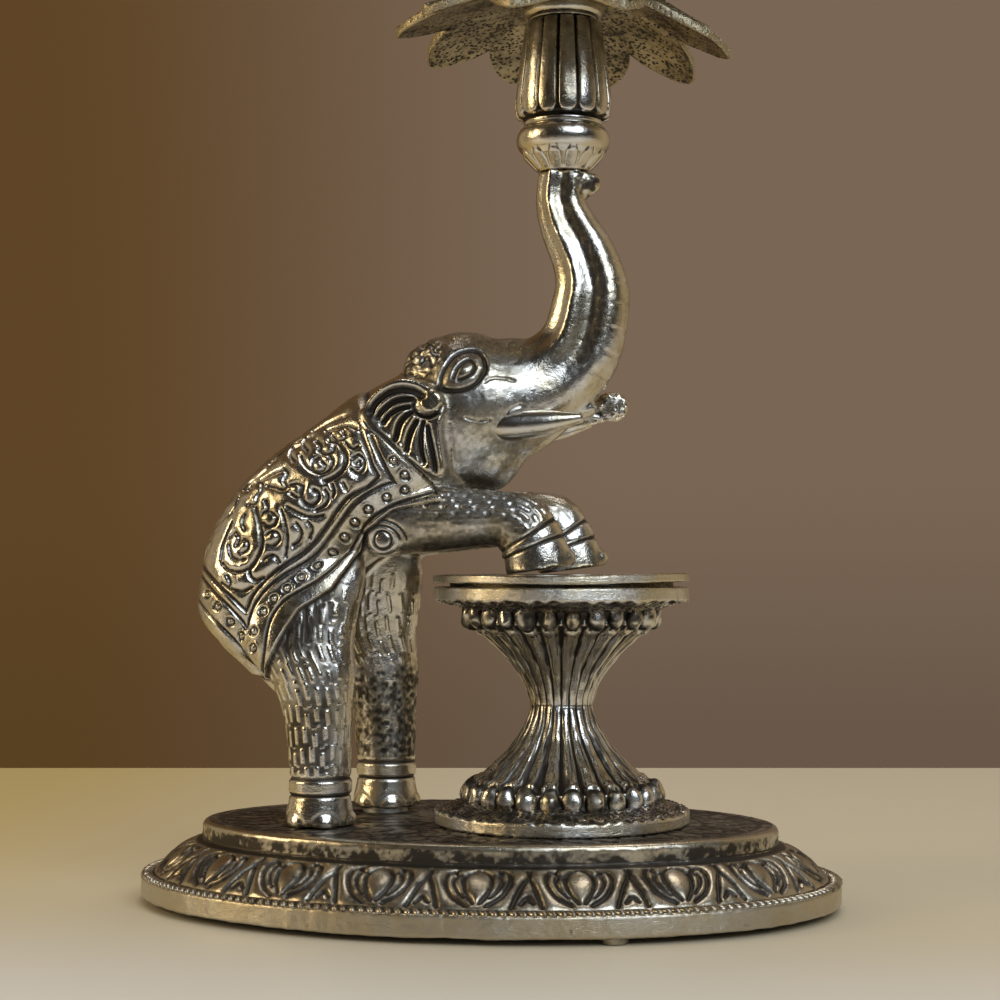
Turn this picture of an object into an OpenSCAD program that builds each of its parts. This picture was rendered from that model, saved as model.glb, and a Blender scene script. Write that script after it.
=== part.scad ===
// Standing oil lamp: an elephant on an oval plinth rests its forefeet on an hourglass
// pedestal and carries a lotus with a lift-out oil bowl on its raised trunk.
// Millimetres. +Z is up, +X is the way the elephant faces, and the origin is the middle
// of the plinth on the surface that the lamp stands on.

/* [Plinth] */
// Length of the oval plinth over its rim
plinth_l = 158; // [146:1:172]
// Width of the oval plinth over its rim
plinth_w = 107; // [98:1:118]
// Height of the three cast feet under the rim
foot_h = 1.4; // [1:0.1:2.5]
// Radius of a cast foot
foot_r = 3; // [2:0.1:3.5]
// Height of the upright rim
rim_h = 4.8; // [3.5:0.1:6]
// Height of the sloping ornament band
band_h = 7.9; // [6:0.1:10]
// Run of the sloping ornament band, from the rim in to the step
band_run = 13.9; // [11:0.1:16]
// Height of the upright step
step_h = 4.1; // [3:0.1:6]
// Wall of the hollow plinth casting
plinth_wall = 2.8; // [2:0.1:3.5]

/* [Pedestal] */
// Distance of the pedestal's axis in front of the plinth's middle
pedestal_x = 17; // [15:0.1:20]
// Height of one bell casting, of which two stand waist to waist
bell_h = 26.4; // [25:0.1:28]
// Radius of the bell's flange
flange_r = 28.6; // [27:0.1:30]
// Thickness of the bell's flange
flange_t = 3.1; // [2.5:0.1:3.8]
// Radius of the fluted flare where it leaves the bead row
flare_r = 19.6; // [18.8:0.1:20.4]
// Radius of the waist
waist_r = 7; // [6:0.1:8]
// Number of beads and of flutes on a bell
flute_count = 26; // [20:1:28]
// Radius of a bead
bead_r = 2.1; // [1.7:0.1:2.2]
// Depth of a flute's groove
flute_depth = 0.7; // [0.4:0.1:1]
// Thickness of the top disc
disc_t = 1.8; // [1.5:0.1:2.6]
// Radius of the top disc
disc_r = 28.8; // [26.5:0.1:31]
// Height of the seating land that holds the disc off the flange
land_h = 0.9; // [0.5:0.1:1.4]

/* [Elephant] */
// Height of the crown above the hind soles
elephant_h = 110; // [107:0.5:113]
// Place of the right hind foot along the plinth
hind_x = -35.2; // [-37:0.1:-33]
// Distance between the hind legs' middles
hind_gap = 28; // [26:0.5:30]
// How far the left hind foot stands ahead of the right one
hind_lead = 8.8; // [6:0.1:10]
// Distance between the forelegs' middles
fore_gap = 19; // [17:0.5:21]
// How far the left forefoot stands ahead of the right one
fore_lead = 4.4; // [2:0.1:6]
// Thickness of the saddle cloth cast on the body
cloth_t = 0.9; // [0.6:0.1:1.4]
// Thickness of the washer under the left hind foot
spacer_t = 1.2; // [0.8:0.1:2]

/* [Stem] */
// Height of the cup that caps the trunk
cup_h = 11.2; // [10:0.1:13]
// Radius of the cup's rounded ring
cup_r = 10.5; // [9.8:0.1:11.5]
// Height of the fluted barrel
barrel_h = 22.6; // [20:0.1:26]
// Widest radius of the barrel
barrel_r = 10.6; // [10:0.1:11.5]
// Radius of the barrel's top
barrel_top_r = 8.2; // [7.6:0.1:8.8]
// Number of lobes around the barrel
lobe_count = 14; // [10:1:16]
// Depth of the grooves between the lobes
lobe_groove = 0.9; // [0.5:0.1:1.2]
// Height of the collar under the lotus
collar_h = 4.2; // [3:0.1:6]
// Radius of the collar
collar_r = 9.1; // [8.6:0.1:10.5]

/* [Lotus] */
// Number of petals in each whorl
petal_count = 10; // [8:1:12]
// Thickness of the petal plates
petal_t = 1.8; // [1.4:0.1:2.4]
// Radius of the drooping lower whorl
lower_r = 38; // [35:0.5:41]
// Drop of the lower whorl's tips
lower_drop = 12; // [8:0.5:13]
// Radius of the spreading middle whorl
middle_r = 47; // [44:0.5:50]
// Rise of the middle whorl's tips
middle_rise = 13; // [10:0.5:16]
// Radius of the upright inner whorl
inner_r = 39; // [37:0.5:43]
// Rise of the inner whorl's tips
inner_rise = 22; // [19:0.5:25]
// Outer radius of the oil bowl's rim
bowl_r = 27; // [25:0.5:28]
// Depth of the oil bowl outside
bowl_h = 14; // [12:0.5:17]
// Wall of the oil bowl
bowl_wall = 1.6; // [1.2:0.1:2.2]
// Height of the ring that the bowl stands on
seat_h = 6.5; // [6:0.1:8]
// Height of the cotton wick above the bowl's floor
wick_h = 16; // [12:0.5:20]

/* [Fasteners] */
// Radius of the rod through the stem
rod_r = 2; // [1.5:0.1:2.5]
// Radius of the pedestal bolt
bolt_r = 2.5; // [2:0.1:2.8]
// Radius of the foot screws
screw_r = 1.75; // [1.25:0.05:2]
// Gap around every rod, bolt and screw
fit_gap = 0.25; // [0.2:0.05:0.4]
// Thickness of the plain washers
washer_t = 0.8; // [0.6:0.1:1.2]
// Length of a hind foot screw inside the sole
screw_grip = 9; // [7:0.5:11]

/* [Hidden] */
$fn = 64;

silver = [0.72, 0.70, 0.66];
dark_silver = [0.50, 0.48, 0.45];
steel = [0.62, 0.63, 0.65];
cotton = [0.93, 0.91, 0.85];

// Heights of the stack, from the table up
rim_z = foot_h + rim_h;
band_z = rim_z + band_h;
plinth_z = band_z + step_h;
waist_z = plinth_z + bell_h;
disc_z = waist_z + bell_h + land_h;
disc_top_z = disc_z + disc_t;

// The step is an ellipse, and the band and the rim follow it at an even distance
step_a = plinth_l / 2 - band_run;
step_b = plinth_w / 2 - band_run;
oval_points = 72;
foot_angles = [-62.5, 62.5, 180];

// Sculpture scale: the tables below are drawn for a crown at this height
drawn_h = 110;
k = elephant_h / drawn_h;
left_hind_z = plinth_z + spacer_t;
trunk_tip = [52.6, 145.5];
stem_x = hind_x + k * trunk_tip[0];
trunk_z = plinth_z + k * trunk_tip[1];

// Heights of the stem and the lotus
barrel_z = trunk_z + cup_h;
collar_z = barrel_z + barrel_h;
lower_z = collar_z + collar_h;
middle_z = lower_z + petal_t;
inner_z = middle_z + petal_t;
seat_z = inner_z + petal_t;
bowl_z = seat_z + seat_h;
hub_r = 13;
petal_phase = 9;
rod_grip = 11;

// Fastener heads and nuts, in multiples of their shank
head_h = 2;
screw_head_r = 1.8 * screw_r;
washer_r = 2.2;
nut_h = 3;
nut_r = 1.85;
bolt_head_h = 1.5;
bolt_head_r = 1.65;
head_gap = 0.1;

// Bell casting: cavity and ornament
bell_floor = 6;
bell_mouth_r = 20;
bell_mouth_depth = 5;
bead_z = 6.6;
flare_start = 9;
flare_power = 1.7;
flare_steps = 6;
cavity_r = 4;

// Sculpted sections of the right side's drawing: [x, z, heading, half depth, half width],
// with x and z from the right hind sole and the heading in degrees above level
torso_sections = [
    [-21.4, 40, 51, 10.2, 12.5], [-20.6, 41.2, 51, 12.6, 15.8], [-17.8, 46.5, 58, 14, 18],
    [-14, 54.5, 64, 16, 19.5], [-9, 63.5, 56, 16.2, 20], [-1.5, 70.5, 44, 16.2, 20.4],
    [7.5, 76.8, 37, 16, 19.5], [17, 83, 34, 16.5, 17.5], [25, 88, 25, 15.5, 15]
];
head_sections = [
    [20, 86, 20, 12, 11], [28, 91.5, 10, 17.6, 14.5], [36, 94.5, 12, 15.8, 14],
    [43, 96, 22, 13.3, 11.5], [50, 99.5, 38, 10.8, 9], [56.5, 106.5, 62, 9.5, 7.8],
    [58.9, 117, 87, 8.7, 7.2], [58.5, 122.7, 99, 7.8, 6.7], [56.4, 128.4, 112, 7.1, 6.3],
    [53.5, 134, 113, 6.3, 5.8], [51.9, 139.6, 97, 5.6, 5.3],
    [trunk_tip[0], trunk_tip[1], 90, 5.6, 5.5]
];
lip_sections = [
    [28, 81, 8, 6, 7], [36.5, 82, 14, 7.6, 8.5], [44, 86.3, 22, 3.8, 6.5], [52, 90, 24, 2.2, 4.8],
    [60, 92.8, 22, 1.2, 3]
];
tusk_sections = [
    [38.5, 88.3, 3, 2.6, 2.8], [45, 88.5, 5, 2.9, 2.9], [51.5, 89.1, 7, 2.2, 2.2],
    [57, 89.9, 9, 1.1, 1.1]
];
// The rough end of the left tusk, and the knob at the elbow
stub = [62.3, 93.6];
knob = [14.5, 63];
tail_sections = [
    [-26, 49, 250, 3, 3.2], [-25, 42, 290, 2.2, 2.6], [-18.5, 35.5, 318, 1.9, 2.2],
    [-12.5, 29, 300, 1.6, 1.8]
];
tusk_y = 7.6;
// Hind legs: [x, z, half depth, half width, how far inside the foot's line]
hind_sections = [
    [-4, 66, 8, 4, 6], [-4.5, 58, 14, 6.2, 4], [-5.5, 48, 14, 7.4, 2], [-5, 40.5, 12.5, 7.8, 1],
    [-1.8, 33, 9.8, 7.8, 0.3],
    [-0.3, 25, 7.7, 7.2, 0], [0.2, 13.5, 6.9, 6.7, 0], [0.2, 8, 6.8, 6.7, 0],
    [0, 3.5, 7, 6.9, 0], [0, 0, 7, 6.9, 0]
];
// Forelegs: the shoulder belongs to the sculpture, the foot to the pedestal's disc,
// which only the tilted sole's heel touches
shoulder_sections = [[11, 68.5, 0, 9.5, 6.5], [24, 68, 0, 7.6, 6.2], [34, 68, -3, 6.4, 5.9]];
sole_heading = -82.5;
sole_depth = 7.6;
forefoot_sections = [
    [-12.5, 12.3, -14, 6.1, 5.8], [-7.9, 11, -42, 7, 5.9], [-4.9, 6, -68, 7.2, 6.1],
    [-3.6, sole_depth * cos(sole_heading), sole_heading, sole_depth, 6.4]
];
ear_outline = [
    [10.3, 91.5], [13.2, 95.9], [18.8, 98.5], [25.4, 96.8], [28.4, 93], [27.9, 86], [28.8, 78.3],
    [27.3, 76.6], [23.2, 78.7], [17.7, 83.3], [12.5, 87.1]
];
ear_curl = [24.6, 92];
ear_y = 14;
ear_t = 3.2;
ear_flutes = 7;
cloth_outline = [
    [-46, 60], [-40, 44], [-22, 28], [-11.6, 31], [-10.4, 35], [-6.8, 42.2], [-3.4, 47.7], [3.4, 52.2],
    [6.7, 57.6], [10, 64.2], [16.8, 69.6], [27.9, 71.7], [24.5, 76.4], [14, 86.4], [7, 100], [-12, 102],
    [-44, 82]
];
// Grooves of the cloth's border and of its largest scrolls
cloth_grooves = [
    [[10.2, 86.3], [11.9, 82.5], [14.3, 77]],
    [[14.6, 77.3], [8.7, 73.1], [5, 69.2], [0.3, 63.1], [-6.4, 58], [-12.3, 52.6], [-15.3, 47.5]],
    [[-15.1, 47.3], [-23.1, 54.3], [-33, 61]],
    [[26.9, 73.6], [18.4, 71.2], [11.1, 66.8], [6.7, 61.1], [3, 56.3], [-2.9, 52.1], [-7.8, 48.4],
     [-10.2, 42.5], [-11.4, 34.3]],
    [[-12.4, 33.6], [-17.2, 39.7], [-24.5, 46.8], [-29, 50]],
    [[3.1, 84.6], [6.7, 82.5], [7.2, 79.5], [2.9, 75.9]],
    [[-13.1, 69.9], [-11.3, 63.7], [-12.7, 58.7], [-14.3, 56.5], [-11.1, 54.8]],
    [[-2.1, 74.6], [-2.4, 72], [0.1, 70.7], [1.4, 73.3]],
    [[-7, 78.5], [-6.4, 75], [-10.7, 74.8]]
];
groove_half = 0.45;
eye = [32, 100.5];
crown = [22.8, 101.6];
crown_r = 7;
ring_points = 22;
leg_points = 14;
loft_steps = 3;
leg_steps = 2;

// Curves and lofts
function catmull(a, b, c, d, t) =
    0.5 * (2 * b + (c - a) * t + (2 * a - 5 * b + 4 * c - d) * t * t
    + (3 * b - a - 3 * c + d) * t * t * t);
function smooth_list(s, steps) = [
    for (i = [0 : len(s) - 2], j = [0 : steps - 1])
        catmull(s[max(i - 1, 0)], s[i], s[i + 1], s[min(i + 2, len(s) - 1)], j / steps),
    s[len(s) - 1]
];
function smooth_loop(s, steps) = let (n = len(s)) [
    for (i = [0 : n - 1], j = [0 : steps - 1])
        catmull(s[(i + n - 1) % n], s[i], s[(i + 1) % n], s[(i + 2) % n], j / steps)
];
// The trunk's lengthwise ridges, which grow from the face: a factor on a section's radius
function ease(a, b, t) = let (u = min(max((t - a) / (b - a), 0), 1)) u * u * (3 - 2 * u);
function swell(a, middle, wide) = exp(-pow((a - middle) / wide, 2));
function trunk_ridge(share, a) = let (side = a > 180 ? 360 - a : a)
    1 + ease(0.3, 0.5, share) * (0.14 * swell(side, 69, 9.7) - 0.1 * swell(side, 47, 11.5)
    - 0.22 * swell(side, 96, 15.5) + 0.05 * swell(side, 132, 20));

// One ring of a loft across a heading in the XZ plane; the sixth value is its place along Y
function section_ring(s, n, grow, share) = [
    for (i = [0 : n - 1])
        let (a = 360 * i / n, f = trunk_ridge(share, a), up = f * (s[3] + grow) * cos(a))
            [s[0] - up * sin(s[2]), s[5] + f * (s[4] + grow) * sin(a), s[1] + up * cos(s[2])]
];
function placed(s, y = 0) = [
    for (q = s) [hind_x + k * q[0], plinth_z + k * q[1], q[2], k * q[3], k * q[4], y]
];
function leg_sections(y, lead, sole_z) = [
    for (i = [0 : len(hind_sections) - 1])
        let (q = hind_sections[i], last = i == len(hind_sections) - 1)
            [hind_x + lead + k * q[0], last ? sole_z : plinth_z + k * q[1], -90, k * q[2], k * q[3],
             y - sign(y) * k * q[4]]
];
function fore_sections(y, lead) = concat(
    [for (q = placed(shoulder_sections, y)) [q[0] + lead / 2, q[1], q[2], q[3], q[4], y]],
    [for (q = forefoot_sections) [pedestal_x + lead + q[0], disc_top_z + q[1], q[2], q[3], q[4], y]]
);

module loft(sections, n, grow = 0, steps = loft_steps, ridged = false) {
    rows = smooth_list(sections, steps);
    m = len(rows);
    rings = [
        for (j = [0 : m - 1]) section_ring(rows[j], n, grow, ridged ? j / (m - 1) : 0)
    ];
    first = sections[0];
    last = sections[len(sections) - 1];
    points = concat([for (r = rings) each r], [[first[0], first[5], first[1]], [last[0], last[5], last[1]]]);
    sides = [
        for (j = [0 : m - 2], i = [0 : n - 1]) let (a = j * n + i, b = j * n + (i + 1) % n)
            each [[a, b, b + n], [a, b + n, a + n]]
    ];
    start_cap = [for (i = [0 : n - 1]) [m * n, (i + 1) % n, i]];
    end_cap = [for (i = [0 : n - 1]) [m * n + 1, (m - 1) * n + i, (m - 1) * n + (i + 1) % n]];
    polyhedron(points, concat(sides, start_cap, end_cap), convexity = 8);
}

// A drawing in the XZ plane, extruded along Y from y0 to y1
module side_extrude(y0, y1) {
    translate([0, y1, 0])
        rotate([90, 0, 0])
            linear_extrude(y1 - y0)
                children();
}

// Plinth: a hollow oval casting, drawn as [distance outside the step's ellipse, height]
plinth_profile = [
    [-1.2, plinth_z], [-0.35, plinth_z - 0.35], [0, plinth_z - 1.2], [0, band_z], [1.2, band_z - 0.4],
    for (t = [0.25 : 0.25 : 0.75])
        [1.2 + (band_run - 4.2) * t, band_z - 0.4 - (band_h - 0.8) * t + 1.2 * sin(180 * t)],
    [band_run - 3, rim_z + 0.4], [band_run - 2.4, rim_z], [band_run, rim_z], [band_run, foot_h],
    [band_run - plinth_wall, foot_h], [band_run - plinth_wall, rim_z - 1.5],
    [2 - plinth_wall, band_z - plinth_wall], [-plinth_wall, plinth_z - plinth_wall]
];
function oval_point(d, a) =
    let (n = [cos(a) / step_a, sin(a) / step_b])
        [step_a * cos(a), step_b * sin(a)] + d * n / norm(n);

module oval_casting() {
    n = oval_points;
    m = len(plinth_profile);
    rings = [for (p = plinth_profile, i = [0 : n - 1]) concat(oval_point(p[0], 360 * i / n), p[1])];
    points = concat(rings, [[0, 0, plinth_z], [0, 0, plinth_z - plinth_wall]]);
    sides = [
        for (j = [0 : m - 2], i = [0 : n - 1]) let (a = j * n + i, b = j * n + (i + 1) % n)
            each [[a, b, b + n], [a, b + n, a + n]]
    ];
    top = [for (i = [0 : n - 1]) [m * n, (i + 1) % n, i]];
    under = [for (i = [0 : n - 1]) [m * n + 1, (m - 1) * n + i, (m - 1) * n + (i + 1) % n]];
    polyhedron(points, concat(sides, top, under), convexity = 8);
}

module plinth() {
    color(dark_silver)
        difference() {
            union() {
                oval_casting();
                for (a = foot_angles)
                    translate(concat(oval_point(band_run - foot_r - 0.1, a), 0))
                        cylinder(r = foot_r, h = foot_h + rim_h / 2);
            }
            translate([pedestal_x, 0, 0])
                cylinder(r = bolt_r + fit_gap, h = plinth_z + 1);
            for (p = hind_feet())
                translate([p[0], p[1], 0])
                    cylinder(r = screw_r + fit_gap, h = plinth_z + 1);
        }
}

// Places of the soles: [x, y, height of the sole]
function hind_feet() = [
    [hind_x, -hind_gap / 2, plinth_z], [hind_x + hind_lead, hind_gap / 2, left_hind_z]
];

// Bell casting, drawn with its flange down and its waist up
function flare_at(t) = waist_r + (flare_r - waist_r) * pow(1 - t, flare_power);
function flare_points(grow) = [
    for (i = [0 : flare_steps]) let (t = i / flare_steps)
        [flare_at(t) + grow, flare_start + (bell_h - flare_start) * t]
];

module bell() {
    bead_ring = flare_r + 0.9;
    difference() {
        union() {
            rotate_extrude()
                polygon(concat(
                    [[bell_mouth_r, 0], [flange_r - 0.3, 0], [flange_r, 0.3], [flange_r, flange_t - 0.3],
                     [flange_r - 0.3, flange_t], [bead_ring + 3, flange_t + 0.4],
                     [bead_ring + 0.8, bead_z - bead_r], [bead_ring, flare_start - 0.5]],
                    flare_points(0),
                    [[bolt_r + fit_gap, bell_h], [bolt_r + fit_gap, bell_h - bell_floor],
                     [cavity_r, bell_h - bell_floor], [flare_r - 4, bell_mouth_depth + 3],
                     [bell_mouth_r, bell_mouth_depth - 2]]));
            for (i = [0 : flute_count - 1])
                rotate(360 * (i + 0.5) / flute_count)
                    translate([bead_ring, 0, bead_z])
                        sphere(r = bead_r);
        }
        for (i = [0 : flute_count - 1])
            rotate(360 * i / flute_count - 90 / flute_count)
                rotate_extrude(angle = 180 / flute_count)
                    polygon([
                        for (p = flare_points(-flute_depth)) [p[0], p[1] + 0.4],
                        for (j = [flare_steps : -1 : 0]) flare_points(2)[j]
                    ]);
    }
}

module pedestal_foot() {
    color(silver)
        translate([pedestal_x, 0, plinth_z])
            bell();
}

module pedestal_cup() {
    color(silver)
        translate([pedestal_x, 0, waist_z + bell_h])
            mirror([0, 0, 1])
                bell();
}

module pedestal_disc() {
    color(silver)
        translate([pedestal_x, 0, disc_z])
            difference() {
                union() {
                    cylinder(r = disc_r, h = disc_t);
                    translate([0, 0, -land_h])
                        cylinder(r = flange_r - 3.6, h = land_h + disc_t / 2);
                }
                translate([0, 0, -land_h - 1])
                    cylinder(r = bolt_r + fit_gap, h = land_h + disc_t + 2);
                translate([0, 0, -land_h - 1])
                    cylinder(r = bell_mouth_r, h = land_h + 1);
                translate([0, 0, disc_t - bolt_head_h])
                    cylinder(
                        r1 = bolt_r + head_gap, r2 = bolt_head_r * bolt_r + head_gap, h = bolt_head_h + 0.01);
            }
}

// Plain fasteners
module washer(r_in, r_out) {
    difference() {
        cylinder(r = r_out, h = washer_t);
        translate([0, 0, -1])
            cylinder(r = r_in, h = washer_t + 2);
    }
}

module nut(r) {
    difference() {
        cylinder(r = nut_r * r, h = nut_h, $fn = 6);
        translate([0, 0, -1])
            cylinder(r = r + fit_gap, h = nut_h + 2);
    }
}

nut_z = plinth_z - plinth_wall - washer_t - nut_h;

module pedestal_bolt() {
    color(steel)
        translate([pedestal_x, 0, 0]) {
            translate([0, 0, nut_z - 1])
                cylinder(r = bolt_r, h = disc_top_z - bolt_head_h / 2 + 1 - nut_z);
            translate([0, 0, disc_top_z - bolt_head_h])
                cylinder(r1 = bolt_r, r2 = bolt_head_r * bolt_r, h = bolt_head_h);
        }
}

module pedestal_washer() {
    color(steel)
        translate([pedestal_x, 0, plinth_z - plinth_wall - washer_t])
            washer(bolt_r + fit_gap, washer_r * bolt_r);
}

module pedestal_nut() {
    color(steel)
        translate([pedestal_x, 0, nut_z])
            nut(bolt_r);
}

// A pan-head screw that points up, with the underside of its head at z = 0
module foot_screw(length) {
    cylinder(r = screw_r, h = length);
    translate([0, 0, -head_h])
        cylinder(r = screw_head_r, h = head_h);
}

module hind_foot_screws() {
    color(steel)
        for (p = hind_feet())
            translate([p[0], p[1], plinth_z - plinth_wall - washer_t])
                foot_screw(p[2] - plinth_z + plinth_wall + washer_t + screw_grip);
}

module hind_foot_washers() {
    color(steel)
        for (p = hind_feet())
            translate([p[0], p[1], plinth_z - plinth_wall - washer_t])
                washer(screw_r + fit_gap, washer_r * screw_r);
}

module hind_foot_spacer() {
    color(steel)
        translate([hind_feet()[1][0], hind_feet()[1][1], plinth_z])
            difference() {
                cylinder(r = 3 * screw_r, h = spacer_t);
                translate([0, 0, -1])
                    cylinder(r = screw_r + fit_gap, h = spacer_t + 2);
            }
}

// Elephant: one casting
module toenails(x, y, z, reach, wide) {
    for (a = [-48, 0, 48])
        translate([x + reach * cos(a), y + wide * sin(a), z + 0.37])
            rotate(a)
                hull() {
                    cylinder(r = 1.9, h = 0.3, $fn = 10);
                    translate([0, 0, 2])
                        sphere(r = 1.2, $fn = 6);
                }
}

module anklet(sections, i, grow) {
    s = sections[i];
    along = [cos(s[2]), sin(s[2])];
    loft([for (d = [-1.83, 1.71]) [s[0] + along[0] * d, s[1] + along[1] * d, s[2], s[3], s[4], s[5]]],
        leg_points, grow, steps = 1);
}

module hind_leg(y, lead, sole_z) {
    s = leg_sections(y, lead, sole_z);
    loft(s, leg_points, steps = leg_steps);
    anklet(s, 7, 0.5);
    toenails(s[9][0], y, sole_z, s[9][3] - 1, s[9][4] - 1);
}

module foreleg(y, lead) {
    s = fore_sections(y, lead);
    loft(s, leg_points, steps = leg_steps);
    anklet(s, 4, 0.3);
    translate([s[6][0], 0, s[6][1]])
        rotate([0, -90 - sole_heading, 0])
            toenails(0, y, 0, s[6][3] - 1, s[6][4] - 1);
}

module drawn(points, steps = 4) {
    polygon([for (p = smooth_loop(points, steps)) [hind_x + k * p[0], plinth_z + k * p[1]]]);
}

// The right ear: a fan of flutes that spread from the curl
module ear() {
    curl = [hind_x + k * ear_curl[0], plinth_z + k * ear_curl[1]];
    difference() {
        side_extrude(-k * (ear_y + ear_t), -k * (ear_y - 5))
            drawn(ear_outline, 3);
        for (i = [0 : ear_flutes - 1])
            side_extrude(-k * (ear_y + ear_t) - 1, -k * (ear_y + ear_t) + 1.1)
                translate(curl)
                    rotate(188 + i * 78 / (ear_flutes - 1))
                        polygon([
                            [k * 3, 0.2], [k * 7, 0.75], [k * 10.5, 0.5],
                            [k * 10.5, -0.5], [k * 7, -0.75], [k * 3, -0.2]
                        ]);
    }
    side_extrude(-k * (ear_y + ear_t) - 0.7, -k * ear_y)
        translate(curl)
            circle(r = k * 2.2, $fn = 20);
}

// The right eye: a ball in a raised almond
module eye_relief() {
    middle = [hind_x + k * eye[0], plinth_z + k * eye[1]];
    side_extrude(-k * 14.6, -k * 10)
        translate(middle)
            rotate(8)
                difference() {
                    almond(k * 5.6);
                    almond(k * 4.5);
                }
    translate([middle[0], -k * 12.6, middle[1]])
        scale([1.5, 1, 1])
            sphere(r = k * 2, $fn = 12);
}

module almond(half) {
    intersection() {
        translate([0, half * 0.62])
            circle(r = half * 1.18, $fn = 20);
        translate([0, -half * 0.62])
            circle(r = half * 1.18, $fn = 20);
    }
}

// A line of even width through points of the side drawing
function across(p, i) =
    let (d = p[min(i + 1, len(p) - 1)] - p[max(i - 1, 0)]) [-d[1], d[0]] / norm(d);
module groove(p) {
    last = len(p) - 1;
    translate([hind_x, plinth_z])
        polygon(concat(
            [for (i = [0 : last]) k * p[i] + groove_half * across(p, i)],
            [for (i = [last : -1 : 0]) k * p[i] - groove_half * across(p, i)]));
}

module saddle_cloth() {
    difference() {
        intersection() {
            loft(placed(torso_sections), ring_points, cloth_t);
            side_extrude(-k * 30, k * 30)
                drawn(cloth_outline, 2);
        }
        side_extrude(-k * 31, k * 31)
            for (g = cloth_grooves)
                groove(g);
    }
}

module elephant() {
    color(silver)
        difference() {
            union() {
                loft(placed(torso_sections), ring_points);
                saddle_cloth();
                loft(placed(head_sections), ring_points, ridged = true);
                loft(placed(lip_sections), 12, steps = 2);
                loft(placed(tail_sections), 8, steps = 2);
                translate([hind_x + k * crown[0], 0, plinth_z + k * crown[1]])
                    scale([1, 1.5, 1])
                        sphere(r = k * crown_r, $fn = 16);
                translate([stem_x + k * 5.8, 0, trunk_z - k * 2.6])
                    sphere(r = k * 2.9, $fn = 14);
                hull() {
                    translate([hind_x + k * stub[0], k * tusk_y, plinth_z + k * stub[1]])
                        sphere(r = k * 3, $fn = 12);
                    translate([hind_x + k * 54.3, k * tusk_y, plinth_z + k * 89.6])
                        sphere(r = k * 1.7, $fn = 10);
                }
                hind_leg(-hind_gap / 2, 0, plinth_z);
                hind_leg(hind_gap / 2, hind_lead, left_hind_z);
                foreleg(-fore_gap / 2, 0);
                foreleg(fore_gap / 2, fore_lead);
                for (side = [0, 1])
                    mirror([0, side, 0]) {
                        loft(placed(tusk_sections, -k * tusk_y), 10, steps = 2);
                        ear();
                        eye_relief();
                        translate([hind_x + k * knob[0], -k * 13.4, plinth_z + k * knob[1]])
                            scale([1, 0.7, 1])
                                sphere(r = k * 4, $fn = 12);
                    }
            }
            for (p = hind_feet())
                translate([p[0], p[1], p[2] - 1])
                    cylinder(r = screw_r + fit_gap, h = screw_grip + 1 + fit_gap, $fn = 20);
            translate([stem_x, 0, trunk_z - rod_grip - fit_gap])
                cylinder(r = rod_r + fit_gap, h = rod_grip + fit_gap + 5, $fn = 20);
        }
}

// Stem: three turned castings on one rod
module bored(r_in, h) {
    difference() {
        children();
        translate([0, 0, -1])
            cylinder(r = r_in, h = h + 2);
    }
}

module trunk_cup() {
    ring_d = cup_h * 0.27;
    ring_h = cup_h * 0.3;
    ring_z = cup_h * 0.625;
    color(silver)
        translate([stem_x, 0, trunk_z])
            bored(rod_r + fit_gap, cup_h)
                rotate_extrude()
                    polygon([
                        [0, 0], [k * 5.7, 0], [k * 6, 0.4], [k * 7.2, 1.6], [cup_r - 1.6, cup_h * 0.3],
                        for (a = [-50 : 20 : 70])
                            [cup_r - ring_d + ring_d * cos(a), ring_z + ring_h * sin(a)],
                        [cup_r - 1.7, cup_h - 0.6], [cup_r - 1.7, cup_h], [0, cup_h]
                    ]);
}

function barrel_at(t) = t < 0.2
    ? barrel_r - 0.5 * pow(1 - t / 0.2, 2)
    : barrel_r - (barrel_r - barrel_top_r) * pow((t - 0.2) / 0.8, 1.1);

module fluted_barrel() {
    steps = 8;
    rows = [for (i = [0 : steps]) [barrel_at(i / steps), barrel_h * i / steps]];
    foot = 1.2;
    groove = [for (i = [0 : steps]) let (t = i / steps) [barrel_at(t), foot + (barrel_h - foot + 1) * t]];
    color(silver)
        translate([stem_x, 0, barrel_z])
            bored(rod_r + fit_gap, barrel_h)
                difference() {
                    rotate_extrude()
                        polygon(concat([[0, 0]], rows, [[0, barrel_h]]));
                    for (i = [0 : lobe_count - 1])
                        rotate(360 * (i + 0.5) / lobe_count - 2.5)
                            rotate_extrude(angle = 5)
                                polygon(concat(
                                    [for (p = groove) [p[0] - lobe_groove, p[1]]],
                                    [for (j = [steps : -1 : 0]) [groove[j][0] + 2, groove[j][1]]]));
                }
}

module stem_collar() {
    half = (collar_h - 1) / 2;
    color(silver)
        translate([stem_x, 0, collar_z])
            bored(rod_r + fit_gap, collar_h)
                rotate_extrude()
                    polygon([
                        [0, 0], [barrel_top_r - 0.6, 0], [barrel_top_r - 0.6, 0.5],
                        for (a = [-60 : 20 : 60])
                            [collar_r - 1.4 + 1.4 * cos(a), 0.5 + half + half * sin(a)],
                        [collar_r - 1, collar_h], [0, collar_h]
                    ]);
}

rod_end_z = seat_z + washer_t + nut_h + 1;

module stem_rod() {
    color(steel)
        translate([stem_x, 0, trunk_z - rod_grip])
            cylinder(r = rod_r, h = rod_end_z - trunk_z + rod_grip);
}

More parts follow.
